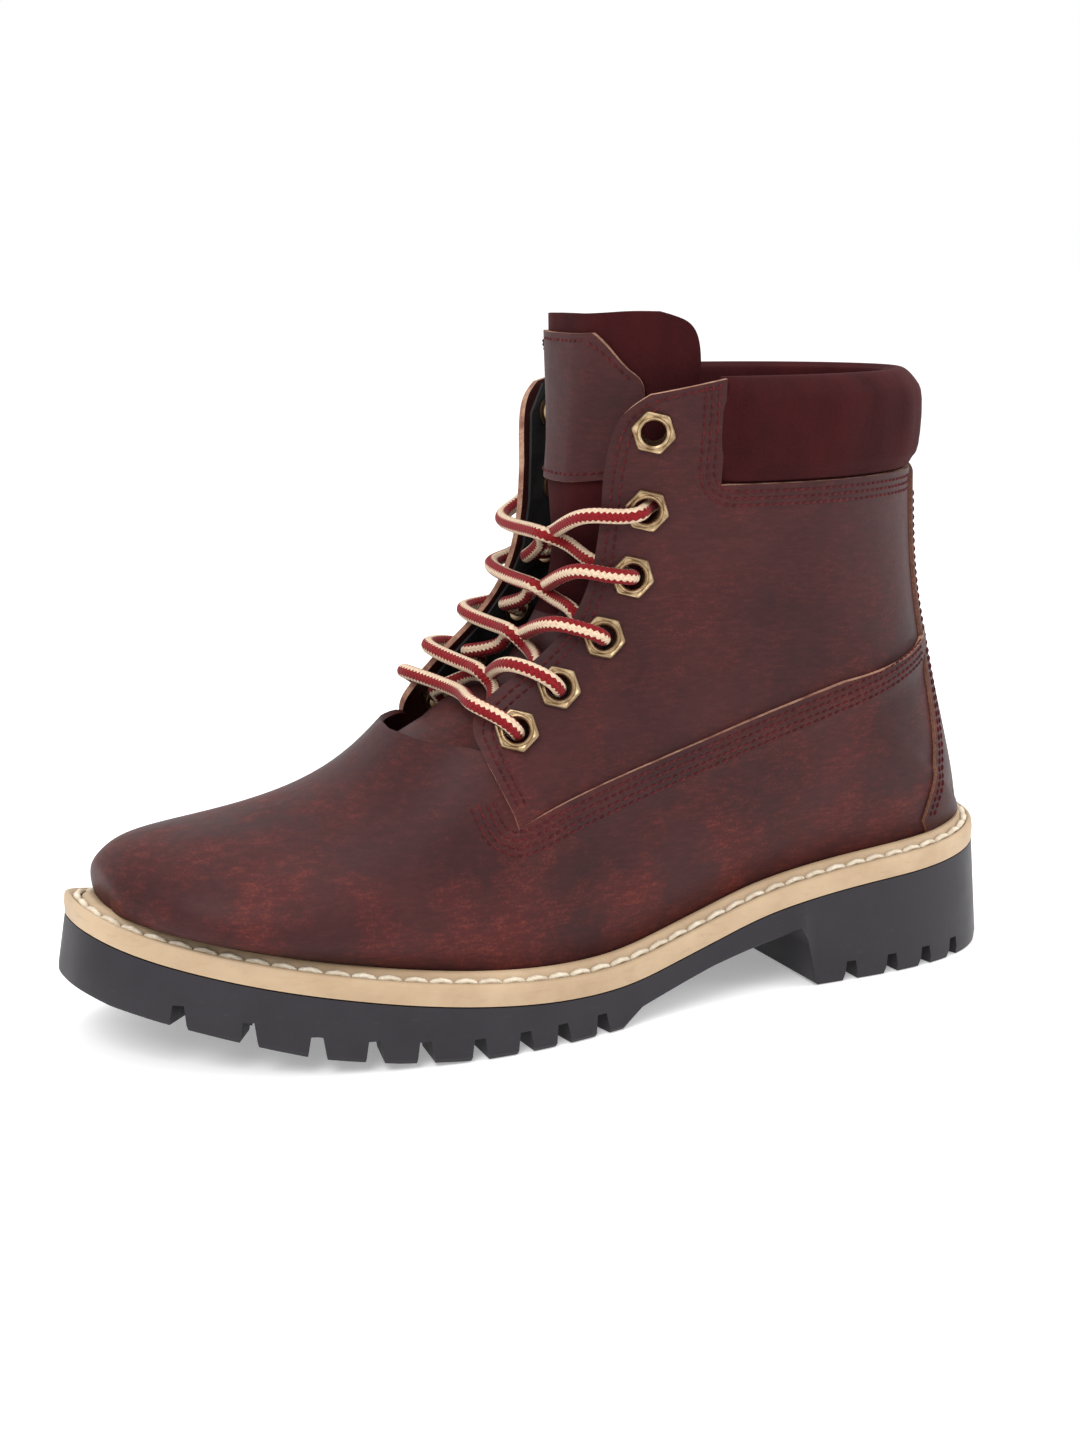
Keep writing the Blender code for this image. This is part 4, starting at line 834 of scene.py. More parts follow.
# dark, middle, worn and fleck colours
LEATHER_TONES = [(0.029, 0.0085, 0.0092), (0.049, 0.0130, 0.0135), (0.082, 0.0135, 0.0108),
                 (0.140, 0.0290, 0.0200)]
NUBUCK_TONES = [(0.017, 0.0026, 0.0034), (0.034, 0.0048, 0.0058), (0.050, 0.0085, 0.0095)]
LEATHER_LOOK = make_leather()
NUBUCK = make_nubuck()
RAW_EDGE = make_raw_edge()
DARK_EDGE = make_dark_edge()
LINING = make_lining()
FOOTBED = make_footbed_look()
RUBBER = make_rubber()
WELT = make_welt_look()
RED_THREAD = make_thread("red_thread", (0.045, 0.005, 0.007), (0.100, 0.011, 0.013))
CREAM_THREAD = make_thread("cream_thread", (0.620, 0.520, 0.390), (0.820, 0.740, 0.600))
BRASS = make_brass()
BRAID = make_braid()


# ---------------------------------------------------------------- camera
def make_camera():
    """Looks down on the boot's outer front side from about standing distance."""
    azimuth = math.radians(25.0)
    down = math.radians(9.62)
    look = Vector((math.sin(azimuth) * math.cos(down), math.cos(azimuth) * math.cos(down), -math.sin(down)))
    lens = bpy.data.cameras.new("camera")
    lens.lens = 52.7
    lens.shift_y = -0.0694
    made = bpy.data.objects.new("camera", lens)
    made.location = (-0.2680, -0.5635, 0.2175)
    made.rotation_euler = look.to_track_quat("-Z", "Y").to_euler()
    bpy.context.scene.collection.objects.link(made)
    bpy.context.scene.camera = made


# ---------------------------------------------------------------- lace
WASHER_FACE = -4.9
LACE_OVER = LACE_DIAMETER / 2 + 1.9
LACE_UNDER = WASHER_FACE - LACE_DIAMETER / 2 - 0.3
LACE_REST = LACE_DIAMETER / 2 + 1.25
LACED_PAIRS = 5
CROSSINGS = [106, 117.5, 129.5, 142]
# heights where the lace crosses the facing's edge: over it on the way to the next eyelet up, and
# under it on the way from the eyelet below
OVER_EDGE = {LATERAL: [104, 115.5, 130.5, 146.5], MEDIAL: [101, 111.5, 125.5, 140.5]}
UNDER_EDGE = {LATERAL: [96.5, 107, 120, 133.5], MEDIAL: [94, 104, 116.5, 130]}
BAR_EDGE = (-34.5, 92.5)
TAIL_WALL = [(28, 145.5, 7.7), (34.5, 142, 7.9), (40, 136, 8.2), (44, 124, 8.6), (46.5, 108, 9.0),
             (48, 90, 9.2), (49, 72, 9.4), (50, 56, 9.8)]
TAIL_FLOOR = {LATERAL: [(55, -17.5), (64, -11), (74, -4), (85, 0.5), (98, 2)],
              MEDIAL: [(41, 15.5), (30, 11), (17, 9), (4, 10), (-7, 12.5)]}
FOOTBED_TOP = 11.6


def eyelet_frame(number, side):
    """Centre on the leather, outward direction, and two directions along the leather."""
    t, v = spot(*EYELETS[number], side)
    centre = last_point(np.array([t]), np.array([v]))[0]
    outward = last_normal(np.array([t]), np.array([v]))[0]
    up = np.array([0.25, 0.0, 1.0])
    up -= outward * np.dot(up, outward)
    up /= np.linalg.norm(up)
    return centre, outward, up, np.cross(up, outward)


def along_leather(number, side, target):
    """Direction along the leather from an eyelet toward a spot of the last."""
    centre, outward, _, _ = eyelet_frame(number, side)
    toward = off_spot(target, 0.0) - centre
    toward -= outward * np.dot(toward, outward)
    return toward / np.linalg.norm(toward)


def through_eyelet(number, side):
    """Points that carry the lace in through an eyelet from outside and back underneath."""
    centre, outward, _, _ = eyelet_frame(number, side)
    if number:
        over = along_leather(number, side, facing_spot(OVER_EDGE[side][number - 1], side, -1.0))
    else:
        over = along_leather(number, side, spot(*BAR_EDGE, side))
    if number < LACED_PAIRS - 1:
        under = along_leather(number, side, facing_spot(UNDER_EDGE[side][number], side, -1.0))
    else:
        under = -over
    return [centre + over * 7.4 + outward * (LACE_OVER + 0.2),
            centre + over * 2.8 + outward * (LACE_OVER - 0.1),
            centre - under * 0.4 - outward * 1.7,
            centre + under * 2.8 + outward * (LACE_UNDER + 0.1), centre + under * 7.4 + outward * LACE_UNDER]


def off_spot(place, height):
    t, v = [place[0]], [place[1]]
    return (last_point(t, v) + last_normal(t, v) * height)[0]


def off_last(x, z, side, height):
    return off_spot(spot(x, z, side), height)


def on_tongue(t, v, height):
    place = last_point([t], [v])
    return (place + last_normal([t], [v]) * (height - tongue_depth(place)[0]))[0]


def facing_spot(z, side, back):
    edge = through(FACING_EDGE)(np.linspace(0, 1, 80))[22:]
    return spot(float(np.interp(z, edge[:, 1], edge[:, 0])) + back, z, side)


def strand(number, side):
    """From under one eyelet across the tongue to the top of the next eyelet opposite."""
    start = facing_spot(UNDER_EDGE[side][number], side, -1.0)
    end = facing_spot(OVER_EDGE[-side][number], -side, -2.6)
    middle = ridge_spot(CROSSINGS[number])
    lift = LACE_DIAMETER + 0.4 if side == LATERAL else 0.0
    points = [off_spot(start, LACE_UNDER - 0.3)]
    for from_ridge, raised in ((0.3, 0.2), (0.08, 0.9), (0.0, 1.0)):
        t = middle + (start[0] - middle) * from_ridge
        points.append(on_tongue(t, start[1] * from_ridge, LACE_REST + 0.2 + lift * raised))
    points.append(off_spot(end, LACE_DIAMETER / 2 + 0.6))
    return points


def lace_route():
    """From the medial top eyelet down to the lowest pair, across, and up again."""
    halves = []
    for first in (LATERAL, MEDIAL):
        points = []
        for number in range(LACED_PAIRS):
            side = first if number % 2 == 0 else -first
            points += through_eyelet(number, side)
            if number < LACED_PAIRS - 1:
                points += strand(number, side)
        halves.append(points)
    bar = [off_last(*BAR_EDGE, MEDIAL, LACE_OVER), on_tongue(ridge_spot(99.5), 0.0, LACE_REST + 1.5),
           off_last(*BAR_EDGE, LATERAL, LACE_OVER)]
    return halves[1][::-1] + bar + halves[0]


def on_footbed(x, y):
    """Where the middle of a lace end lies above the footbed."""
    return np.array([x, y, float(sole_top(x)) + FOOTBED_TOP + AGLET_DIAMETER / 2 + 0.9])


def tail_route(side):
    """A free end: down the wall inside the lining, then along the footbed."""
    held = through_eyelet(LACED_PAIRS - 1, side)
    onward = (held[-1] - held[-2]) / np.linalg.norm(held[-1] - held[-2])
    points = [held[-1] + onward * step for step in (GAP, 2.5)]
    points += [off_last(x, z, side, -depth) for x, z, depth in TAIL_WALL]
    return points + [on_footbed(x, y) for x, y in TAIL_FLOOR[side]]


def smoothed(points, spacing):
    return resampled(through(points)(np.linspace(0, 1, 3000)), spacing)


def make_lace():
    for side, word in ((LATERAL, "lateral"), (MEDIAL, "medial")):
        route = np.array(tail_route(side))
        line = smoothed(route, 1.5)
        tail = cord_mesh(f"braided_tail_{word}", line, LACE_DIAMETER / 2, BRAID)
        place_piece(tail, "red_lace", f"lace_tail_{word}")
        aglet = make_aglet(word, line[-1], f"aglet_{word}")
        length = float(np.linalg.norm(np.diff(line, axis=0), axis=1).sum())
        path = [tuple((point - CENTRE) * MM) for point in smoothed(route, length / 34)]
    lace = cord_mesh("braided_lace", smoothed(lace_route(), 1.0), LACE_DIAMETER / 2, BRAID, 20)
    place_piece(lace, "red_lace", "lace")


def make_aglet(word, end, cad_name):
    """A rolled metal tip with a crimp ring near each end, where its CAD node lies."""
    low, high = (np.array(corner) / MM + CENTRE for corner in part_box(cad_name))
    middle = (low + high) / 2
    ahead = middle - end
    ahead /= np.linalg.norm(ahead)
    start = middle - ahead * AGLET_LENGTH / 2
    profile = [(0.0, 0.80), (0.3, 0.98), (2.0, 1.0), (2.3, 0.93), (2.9, 0.93), (3.2, 1.0), (18.5, 1.0),
               (18.8, 0.93), (19.4, 0.93), (19.7, 1.0), (21.4, 0.96), (22.0, 0.78)]
    centre = np.array([start + ahead * along for along, _ in profile])
    _, first, second = along_frames(centre)
    rings = []
    for point, (_, share), a, b in zip(centre, profile, first, second):
        radius = AGLET_DIAMETER / 2 * share
        turn = np.linspace(0, 2 * math.pi, 20, endpoint=False)
        rings.append([point + (a * math.cos(q) + b * math.sin(q)) * radius for q in turn])
    return place_piece(lofted(f"rolled_aglet_{word}", rings, [BRASS], sharp=35), "antique_brass", cad_name)


# ---------------------------------------------------------------- sole and welt
SIDE_GROOVES = [-123, -107, -91, -76, -61.5, -47, -33, -20, -7.5, 82, 96, 110, 123.5]
GROOVE_TOP = 3.2
GROOVE_MOUTH = 5.4
GROOVE_LENGTH = 15.0
CHANNELS = [(-124, -4, 24), (78, 127, 10)]
CHANNEL_INSET = 17.0
CHANNEL_WIDTH = 4.5
CHANNEL_DEPTH = 4.5


def underside(x):
    return float(np.interp(x, *zip(*SOLE_BOTTOM)))


def edge_frame(x, side):
    edge = EDGE[side]
    i = int(np.argmin(np.abs(edge[:, 0] - x)))
    along = edge[min(i + 2, len(edge) - 1)] - edge[max(i - 2, 0)]
    along = along / np.linalg.norm(along)
    inward = np.array([-along[1], along[0]]) * -side
    point = np.array([edge[i, 0] * SOLE_FLARE_X, edge[i, 1] * SOLE_FLARE_Y])
    return point, inward, along


def sole_block():
    """The rubber block, with a wall that flares out toward the tread."""
    turn = 1 - np.cos(np.linspace(0, math.pi / 2, 22))
    corners = [x for x, _ in SOLE_BOTTOM if -125 < x < 128]
    stations = np.concatenate([-145.97 + 21 * turn, np.linspace(-124, 127, 100), 148.97 - 21 * turn[::-1],
                               corners])
    stations = np.unique(np.round(stations, 3))
    lateral_edge, medial_edge = (plan_half(side, 1200) for side in (LATERAL, MEDIAL))
    rings = []
    for x in stations:
        lateral = float(np.interp(x, lateral_edge[:, 0], lateral_edge[:, 1]))
        medial = float(np.interp(x, medial_edge[:, 0], medial_edge[:, 1]))
        ring = []
        for share in (0.0, 0.08, 0.5, 0.92):
            flare_x = 1 + (SOLE_FLARE_X - 1) * (1 - share)
            flare_y = 1 + (SOLE_FLARE_Y - 1) * (1 - share)
            place = x * flare_x
            z = underside(place) * (1 - share) + (float(sole_top(place)) - GAP) * share
            tuck = 0.0 if share else min(0.8, 0.2 * (medial - lateral))
            ring.append((place, (lateral + tuck) * flare_y, (medial - tuck) * flare_y, z))
        ring.append((x, lateral, medial, float(sole_top(x)) - GAP))
        left = [(px, low, z) for px, low, _, z in ring]
        right = [(px, high, z) for px, _, high, z in ring]
        rings.append(left + right[::-1])
    return lofted("lugged_sole", rings, [RUBBER], sharp=30)


def corner_blocks(sets):
    """One cutter holding a separate block for each set of eight corners."""
    local = [(0, 3, 2, 1), (4, 5, 6, 7), (0, 1, 5, 4), (1, 2, 6, 5), (2, 3, 7, 6), (3, 0, 4, 7)]
    vertices = [corner for corners in sets for corner in corners]
    faces = [[8 * k + c for c in face] for k in range(len(sets)) for face in local]
    made = add_mesh("cutter", vertices, faces, [RUBBER], smooth=False)
    point_outward(made)
    return made


def groove_sets():
    sets = []
    for side in (LATERAL, MEDIAL):
        for x in SIDE_GROOVES:
            point, inward, along = edge_frame(x, side)
            outer = point - inward * 4
            inner = point + inward * GROOVE_LENGTH
            base = underside(point[0])
            corners = []
            for z, width in ((base - 3, GROOVE_MOUTH + 0.9), (base + LUG_DEPTH, GROOVE_TOP)):
                half = along * width / 2
                ring = [outer - half, outer + half, inner + half, inner - half]
                corners += [(p[0], p[1], z) for p in (ring[::-1] if side == LATERAL else ring)]
            sets.append(corners)
    return sets


def cross_sets():
    sets = []
    for x in (-99, -69, -40, -13.5, 103):
        low = float(plan_y(x, LATERAL)) + CHANNEL_INSET - 1
        high = float(plan_y(x, MEDIAL)) - CHANNEL_INSET + 1
        corners = []
        for z in (underside(x) - 3, underside(x) + CHANNEL_DEPTH - 0.7):
            corners += [(x - 3, low, z), (x + 3, low, z), (x + 3, high, z), (x - 3, high, z)]
        sets.append(corners)
    return sets


def make_sole():
    sole = sole_block()
    cut(sole, corner_blocks(groove_sets()))
    for side in (LATERAL, MEDIAL):
        for start, end, count in CHANNELS:
            rings = []
            for x in np.linspace(start, end, count):
                point, inward, _ = edge_frame(x, side)
                middle = point + inward * CHANNEL_INSET
                half = inward * CHANNEL_WIDTH / 2
                base = underside(middle[0])
                rings.append([(*(middle - half), base - 3), (*(middle + half), base - 3),
                              (*(middle + half), base + CHANNEL_DEPTH),
                              (*(middle - half), base + CHANNEL_DEPTH)])
            cut(sole, lofted("cutter", rings, [RUBBER]))
    cut(sole, corner_blocks(cross_sets()))
    sole.data.set_sharp_from_angle(angle=math.radians(30))
    soften(sole, 0.4, angle=34)
    place_piece(sole, "charcoal_rubber", "outsole")


WELT_STATIONS = 170
WELT_WALL = [(0.0, 0.0, 0.1), (0.0, 0.0, 0.9), (0.0, -0.15, 3.0), (0.0, 0.05, 5.2), (0.0, 0.35, 6.0),
             (0.0, 1.0, 6.45), (0.17, 0.2, 6.35), (0.26, 0.1, 5.75), (0.32, 0.0, 5.25), (0.44, 0.0, 5.15),
             (0.53, 0.0, 5.7), (0.58, 0.0, 6.9), (0.66, 0.0, 7.9), (0.80, -0.2, 8.3), (0.97, -0.7, 8.0),
             (1.0, 0.4, 7.2), (1.0, 1.2, 6.2), (1.0, 5.9, 6.2), (1.0, 6.0, 0.4)]
WELT_STITCH_PITCH = 7.3
# round the toe the welt's inner lip leans in against the vamp
TOE_CENTRE = np.array([-105.0, 5.0])
TOE_LEAN = 2.0


def make_welt():
    loops = []
    for share, extra, height in WELT_WALL:
        plan = plan_loop(WELT_STATIONS, share, extra)
        inward = TOE_CENTRE - plan
        inward /= np.linalg.norm(inward, axis=1)[:, None]
        lean = TOE_LEAN * max(0.0, 2 * share - 1) * (1 - ease(plan[:, 0], -138, -112))
        plan = plan + inward * lean[:, None]
        loops.append(np.column_stack([plan, sole_top(plan[:, 0]) + height]))
    welt = lofted("stitched_welt", np.stack(loops, 1), [WELT], closed=True, sharp=60)
    place_piece(welt, "beige_welt", "welt")
    seam = plan_loop(WELT_STATIONS, 0.40)
    seam = np.concatenate([seam, seam[:1]])
    line = np.column_stack([seam, sole_top(seam[:, 0]) + 5.9])
    up = np.tile([0.0, 0.0, 1.0], (len(line), 1))
    thread = stitches("welt_stitches", [(line, up)], CREAM_THREAD, WELT_STITCH_PITCH, 6.9, 1.1, 0.36)
    place_piece(thread, "cream_thread", "welt_thread")


# ---------------------------------------------------------------- upper
VAMP_RIDGE_T = [0.0, 0.025, 0.05, 0.08, 0.115, 0.155, 0.2, 0.245, 0.29, 0.33, 0.37, 0.405, 0.43]
VAMP_THROAT = [(-49.5, 83.3), (-45, 82.8), (-40, 82.6), (-35, 81), (-30.6, 76), (-29.2, 69), (-29.6, 61.2)]
LONG_SEAM = [(-29.6, 61.2), (-16, 66.8), (3, 73.1), (20, 78), (35, 82.3), (48, 86.1), (61, 89.8), (74, 93.6),
             (87, 97.3), (100, 101), (114, 105)]
OVERLAP = 1.2
SEAM_RISE = 1.6
VAMP_ROWS = 44
UNDER_BACKSTAY = 3.0


def seam_height(x):
    return np.interp(x, *zip(*LONG_SEAM))


def vamp_lift(places):
    """The wing's top edge lies over the quarter, and sinks to the last below it."""
    x, z = places[:, 0], places[:, 2]
    below = seam_height(x) - z
    ahead = 4 + 1.5 * np.clip(below, 0, 15)
    return -SEAM_RISE * (1 - ease(below, 3, 15)) * ease(x, -27 - ahead, -27)


def close_toe(points):
    """The vamp's lower edge runs level across the tip, behind the welt's lip."""
    arch = last_point(np.zeros(33), np.linspace(-0.8, 0.8, 33))
    foot = float(feather_height(arch[0, 0]))
    top = np.interp(points[:, 1], arch[:, 1], arch[:, 2], left=foot, right=foot)
    drop = (top - foot) * (1 - ease(points[:, 2] - top, 0, 6)) * (points[:, 0] < -125)
    return points - np.outer(drop, [0, 0, 1])


def vamp_patch(side):
    share = np.linspace(0, 1, VAMP_ROWS) ** 1.5
    ridge = np.interp(np.linspace(0, 1, 64), np.linspace(0, 1, len(VAMP_RIDGE_T)), VAMP_RIDGE_T)
    top = np.array([(t, 0.0) for t in ridge])
    lean = (1 - 0.36 / VAMP_RIDGE_T[-1]) / VAMP_RIDGE_T[-1]
    foot = np.array([(t * (1 - lean * t), side) for t in ridge])
    front = top[None] + (foot - top)[None] * share[:, None, None]
    throat = through(VAMP_THROAT)(np.linspace(0, 1, 14))
    seam = through(LONG_SEAM)(np.linspace(0, 1, 84))[1:]
    feet = np.concatenate([np.linspace(-49, -31, 13), np.linspace(-27, 112, 84)])
    edge = through(BACKSTAY_EDGE)(np.linspace(0, 1, 60))
    line_x = np.concatenate([throat, seam])
    columns = []
    for number, ((x, z), foot_x) in enumerate(zip(line_x, feet)):
        foot_z = float(feather_height(foot_x))
        line = np.column_stack([x + (foot_x - x) * share, z + (foot_z - z) * share])
        near = max(0.0, 1 - (len(feet) - 1 - number) / 22)
        bow = np.interp(line[:, 1], edge[:, 1], edge[:, 0]) + UNDER_BACKSTAY - line[:, 0]
        line[:, 0] += bow * near
        found = spots(line, side)
        found[-1] = found[-1, 0], side
        columns.append(found)
    return np.concatenate([front, np.stack(columns, 1)], 1)


FACING_FOOT = (-29.8, 60.6)


def facing_line():
    edge = through(FACING_EDGE)(np.linspace(0, 1, 90))
    edge[0] = FACING_FOOT
    return edge


def quarter_lift(places):
    """The facing's lower corner lies over the vamp."""
    edge = facing_line()[:45]
    behind = places[:, 0] - np.interp(places[:, 2], edge[:, 1], edge[:, 0])
    return -OVERLAP * (1 - ease(behind, 3, 13)) * (1 - ease(places[:, 2], 80, 94))


def quarter_patches(side):
    front = facing_line()
    heights = np.concatenate([np.linspace(76, 155, 60), np.linspace(155, 185.3, 31)[1:]])
    middle = np.column_stack([np.full(len(heights), COLLAR_FRONT_X), heights])
    rear = polyline([(119.0, 100), (117.5, 126), (116, 155.3)], 60)
    return [ruled(front, middle, 34, side), ruled(middle[:60], rear, 44, side)]


def backstay_lift(places):
    edge = through(BACKSTAY_EDGE)(np.linspace(0, 1, 60))
    inside = places[:, 0] - np.interp(places[:, 2], edge[:, 1], edge[:, 0])
    return -OVERLAP + 0.5 * ease(inside, 3, 14)


def backstay_patches():
    patches = []
    heights = np.linspace(0, 1, 60)
    for side in (LATERAL, MEDIAL):
        edge = spots(through(BACKSTAY_EDGE)(heights), side)
        edge[0] = edge[0, 0], side
        back_z = np.interp(heights, [0, 1], [float(feather_height(143.0)), 156.6])
        back = spine_spots(back_z, side)
        share = np.sin(np.linspace(0, math.pi / 2, 26))
        patches.append(edge[None] + (back - edge)[None] * share[:, None, None])
    return patches


def spine_spots(heights, side):
    t = np.linspace(HEEL_T, 1, 200)
    z = back_line(t)[:, 1]
    return np.array([(float(np.interp(height, z, t)), side) for height in heights])


EYELET_HOLE = 4.4


def eyelet_holes(side):
    """Round pegs through the leather at the eyelets."""
    turn = np.linspace(0, 2 * math.pi, 24, endpoint=False)
    vertices = []
    faces = []
    for number in range(len(EYELETS)):
        centre, outward, up, across = eyelet_frame(number, side)
        start = len(vertices)
        for height in (-3.5, 4.0):
            vertices += [centre + outward * height + (up * math.cos(a) + across * math.sin(a)) * EYELET_HOLE
                         for a in turn]
        for k in range(24):
            after = (k + 1) % 24
            faces.append([start + k, start + after, start + 24 + after, start + 24 + k])
        faces.append([start + k for k in range(24)][::-1])
        faces.append([start + 24 + k for k in range(24)])
    made = add_mesh("cutter", vertices, faces, [LEATHER_LOOK], smooth=False)
    point_outward(made)
    return made


def make_upper():
    looks = [LEATHER_LOOK, DARK_EDGE]
    vamp = shell("leather_vamp", [vamp_patch(side) for side in (LATERAL, MEDIAL)], vamp_lift,
                 lambda p: vamp_lift(p) + LEATHER, [LEATHER_LOOK, RAW_EDGE], shift=close_toe)
    for face in vamp.data.polygons:
        if face.center.x < (VAMP_THROAT[-1][0] - CENTRE[0]) * MM:
            face.material_index = 0
    place_piece(vamp, "burgundy_leather", "vamp")
    for side, word in ((LATERAL, "lateral"), (MEDIAL, "medial")):
        quarter = shell(f"leather_quarter_{word}", quarter_patches(side), quarter_lift,
                        lambda p: quarter_lift(p) + LEATHER, [LEATHER_LOOK, RAW_EDGE], round_edge=0)
        cut(quarter, eyelet_holes(side))
        soften(quarter, 0.3)
        place_piece(quarter, "burgundy_leather", f"quarter_{word}")
    backstay = shell("leather_backstay", backstay_patches(), backstay_lift,
                     lambda p: backstay_lift(p) + LEATHER, looks)
    place_piece(backstay, "burgundy_leather", "backstay")


# ---------------------------------------------------------------- sewn seams of the upper
def sewn(line, side, offset, lift, spacing=0.8):
    """A stitch row beside a side-view line, lying on the leather."""
    row = resampled(beside(resampled(line, 1.0), offset), spacing)
    heights = lift(on_last(row, side)) if callable(lift) else np.full(len(row), -float(lift))
    return on_last(row, side, -np.asarray(heights)), normals_at(row, side)


# the seam's rows turn up ahead of the facing's corner
SEAM_TURN = [(-34.0, 70.0), (-33.2, 67.0), (-32.4, 64.2), (-31.2, 62.0)]


def make_seams():
    long_seam = np.concatenate([SEAM_TURN, through(LONG_SEAM)(np.linspace(0.03, 0.985, 120))])
    facing = facing_line()
    front = facing[2:]
    top = [(12, 181), (20, 183.2), (27, 184.6), (COLLAR_FRONT_X - 0.6, 185.2)]
    notch = np.array([(COLLAR_FRONT_X, 184.0), (COLLAR_FRONT_X, 158.5), (COLLAR_FRONT_X + 1.2, 156.0),
                      (COLLAR_FRONT_X + 4, 155.2), (60, 155.2), (90, 155.2), (111.0, 155.2)])
    edge = through(BACKSTAY_EDGE)(np.linspace(0.03, 0.97, 90))
    rows = []
    for side in (LATERAL, MEDIAL):
        rows += [sewn(long_seam, side, -offset, vamp_lift) for offset in (2.0, 4.1, 6.4, 8.5)]
        rows += [sewn(front, side, -offset, quarter_lift) for offset in (2.2, 4.3)]
        rows += [sewn(top, side, -offset, 0.0) for offset in (2.2,)]
        rows += [sewn(notch, side, -offset, 0.0) for offset in (2.2, 4.2, 6.2)]
        rows += [sewn(edge, side, -offset, backstay_lift) for offset in (2.0, 4.0)]
    thread = stitches("upper_stitches", rows, RED_THREAD)
    place_piece(thread, "burgundy_leather")


# ---------------------------------------------------------------- collar
COLLAR_COVER = [(-0.14, 2.4), (-0.05, 2.1), (0.0, 0.6), (0.10, -1.4), (0.32, -3.3), (0.62, -3.7),
                (0.86, -2.3), (0.985, 0.8), (1.03, 3.8), (0.99, 6.6), (0.86, 8.3), (0.5, 8.9), (0.0, 8.5),
                (-0.12, 6.6)]


def collar_spot(share, z, side):
    back = spine_spots([z], side)[0]
    if share > 0.9999:
        return back
    back_x = float(back_line(np.array([back[0]]))[0, 0])
    return spot(COLLAR_FRONT_X + 0.8 + (back_x - COLLAR_FRONT_X - 0.8) * share, z, side)


def make_collar():
    """A padded band round the opening, with shallow creases where it bends."""
    profile = smooth_loop(COLLAR_COVER, 48)
    turn = np.linspace(-0.012, 1, 46)
    stations = [(q, LATERAL) for q in turn] + [(q, MEDIAL) for q in turn[::-1][1:]]
    rings = []
    for q, side in stations:
        share = math.sin(q * math.pi / 2)
        middle = collar_spot(share, (COLLAR_LOW + COLLAR_HIGH) / 2, side)
        outward = last_normal(np.array([middle[0]]), np.array([middle[1]]))[0]
        outward[2] = 0
        outward /= np.linalg.norm(outward)
        end = 1 - ease(q, -0.012, 0.05)
        crease = 0.28 * math.sin(q * 21 + side) + 0.18 * math.sin(q * 47 + 2 * side)
        ring = []
        for height, depth in profile:
            pinch = depth + (3.4 - depth) * 0.55 * end
            swell = crease * (1 - abs(height - 0.5) * 1.6) if 0 < height < 1 else 0.0
            z = COLLAR_LOW + (COLLAR_HIGH - COLLAR_LOW) * height
            t, v = collar_spot(share, min(z, COLLAR_HIGH), side)
            place = last_point(np.array([t]), np.array([v]))[0]
            ring.append((*(place - outward * (pinch + swell))[:2], z))
        rings.append(ring)
    collar = lofted("padded_collar", rings, [NUBUCK])
    place_piece(collar, "burgundy_nubuck", "collar_cover", "collar_foam")


# ---------------------------------------------------------------- tongue
TONGUE_ROWS = [(77, -47, 63), (90, -33, 74), (104, -14, 91), (118, 3, 107), (133, 16, 124), (148, 23, 143),
               (164, 27, 162), (179.6, 28.5, 179.6), (188, 29, 188), (195.5, 28, 195.5), (200.8, 23.5, 200.8),
               (203.2, 15, 203.2)]
PATCH_ROWS = [(155.5, 8, 155.5), (168, 9, 168), (180.5, 10, 180.5), (186, 4.8, 186),
              (192, -1.5, 192), (197.5, -7, 197.5)]
# the tongue is smooth leather below this height, and drops on the medial side at its top
SMOOTH_TONGUE = 116.0
MEDIAL_DROP = 5.0


def ridge_spot(z):
    heights = ridge_line(T_SCAN)[:, 1]
    return float(np.interp(z, heights, T_SCAN))


def tongue_row(ridge_z, edge_x, edge_z, side, count=9):
    start = ridge_spot(ridge_z)
    start_x = float(ridge_line(np.array([start]))[0, 0])
    share = np.linspace(0, 1, count) ** 1.5
    row = [(start_x + (edge_x - start_x) * s, ridge_z + (edge_z - ridge_z) * s) for s in share]
    result = spots(row, side)
    result[0] = start, 0.0
    return result


def shin_depth(places):
    """The tongue sinks in behind the laces, less so at its top and its wings."""
    sink = TONGUE_SINK - TONGUE_TOP_RISE * ease(places[:, 2], 128, 156)
    sunk = sink * ease(places[:, 2], 88, 112) * (1 - ease(places[:, 0], 2, 26))
    return TONGUE_DEPTH + sunk + WING_TUCK * ease(places[:, 0], 14, 28)


def tongue_depth(places):
    """Just under the vamp at the throat, then down to leave room for the lace."""
    ahead = places[:, 2] + 0.75 * np.maximum(places[:, 0] + 60, 0) - TONGUE_ROWS[0][0]
    share = np.clip(ahead / THROAT_RAMP, 0, 1)
    return THROAT_DEPTH + (shin_depth(places) - THROAT_DEPTH) * share


def padding(places):
    """The tongue's top is padded; below the patch it is thin."""
    return 1.0 * ease(places[:, 2], 150, 170)


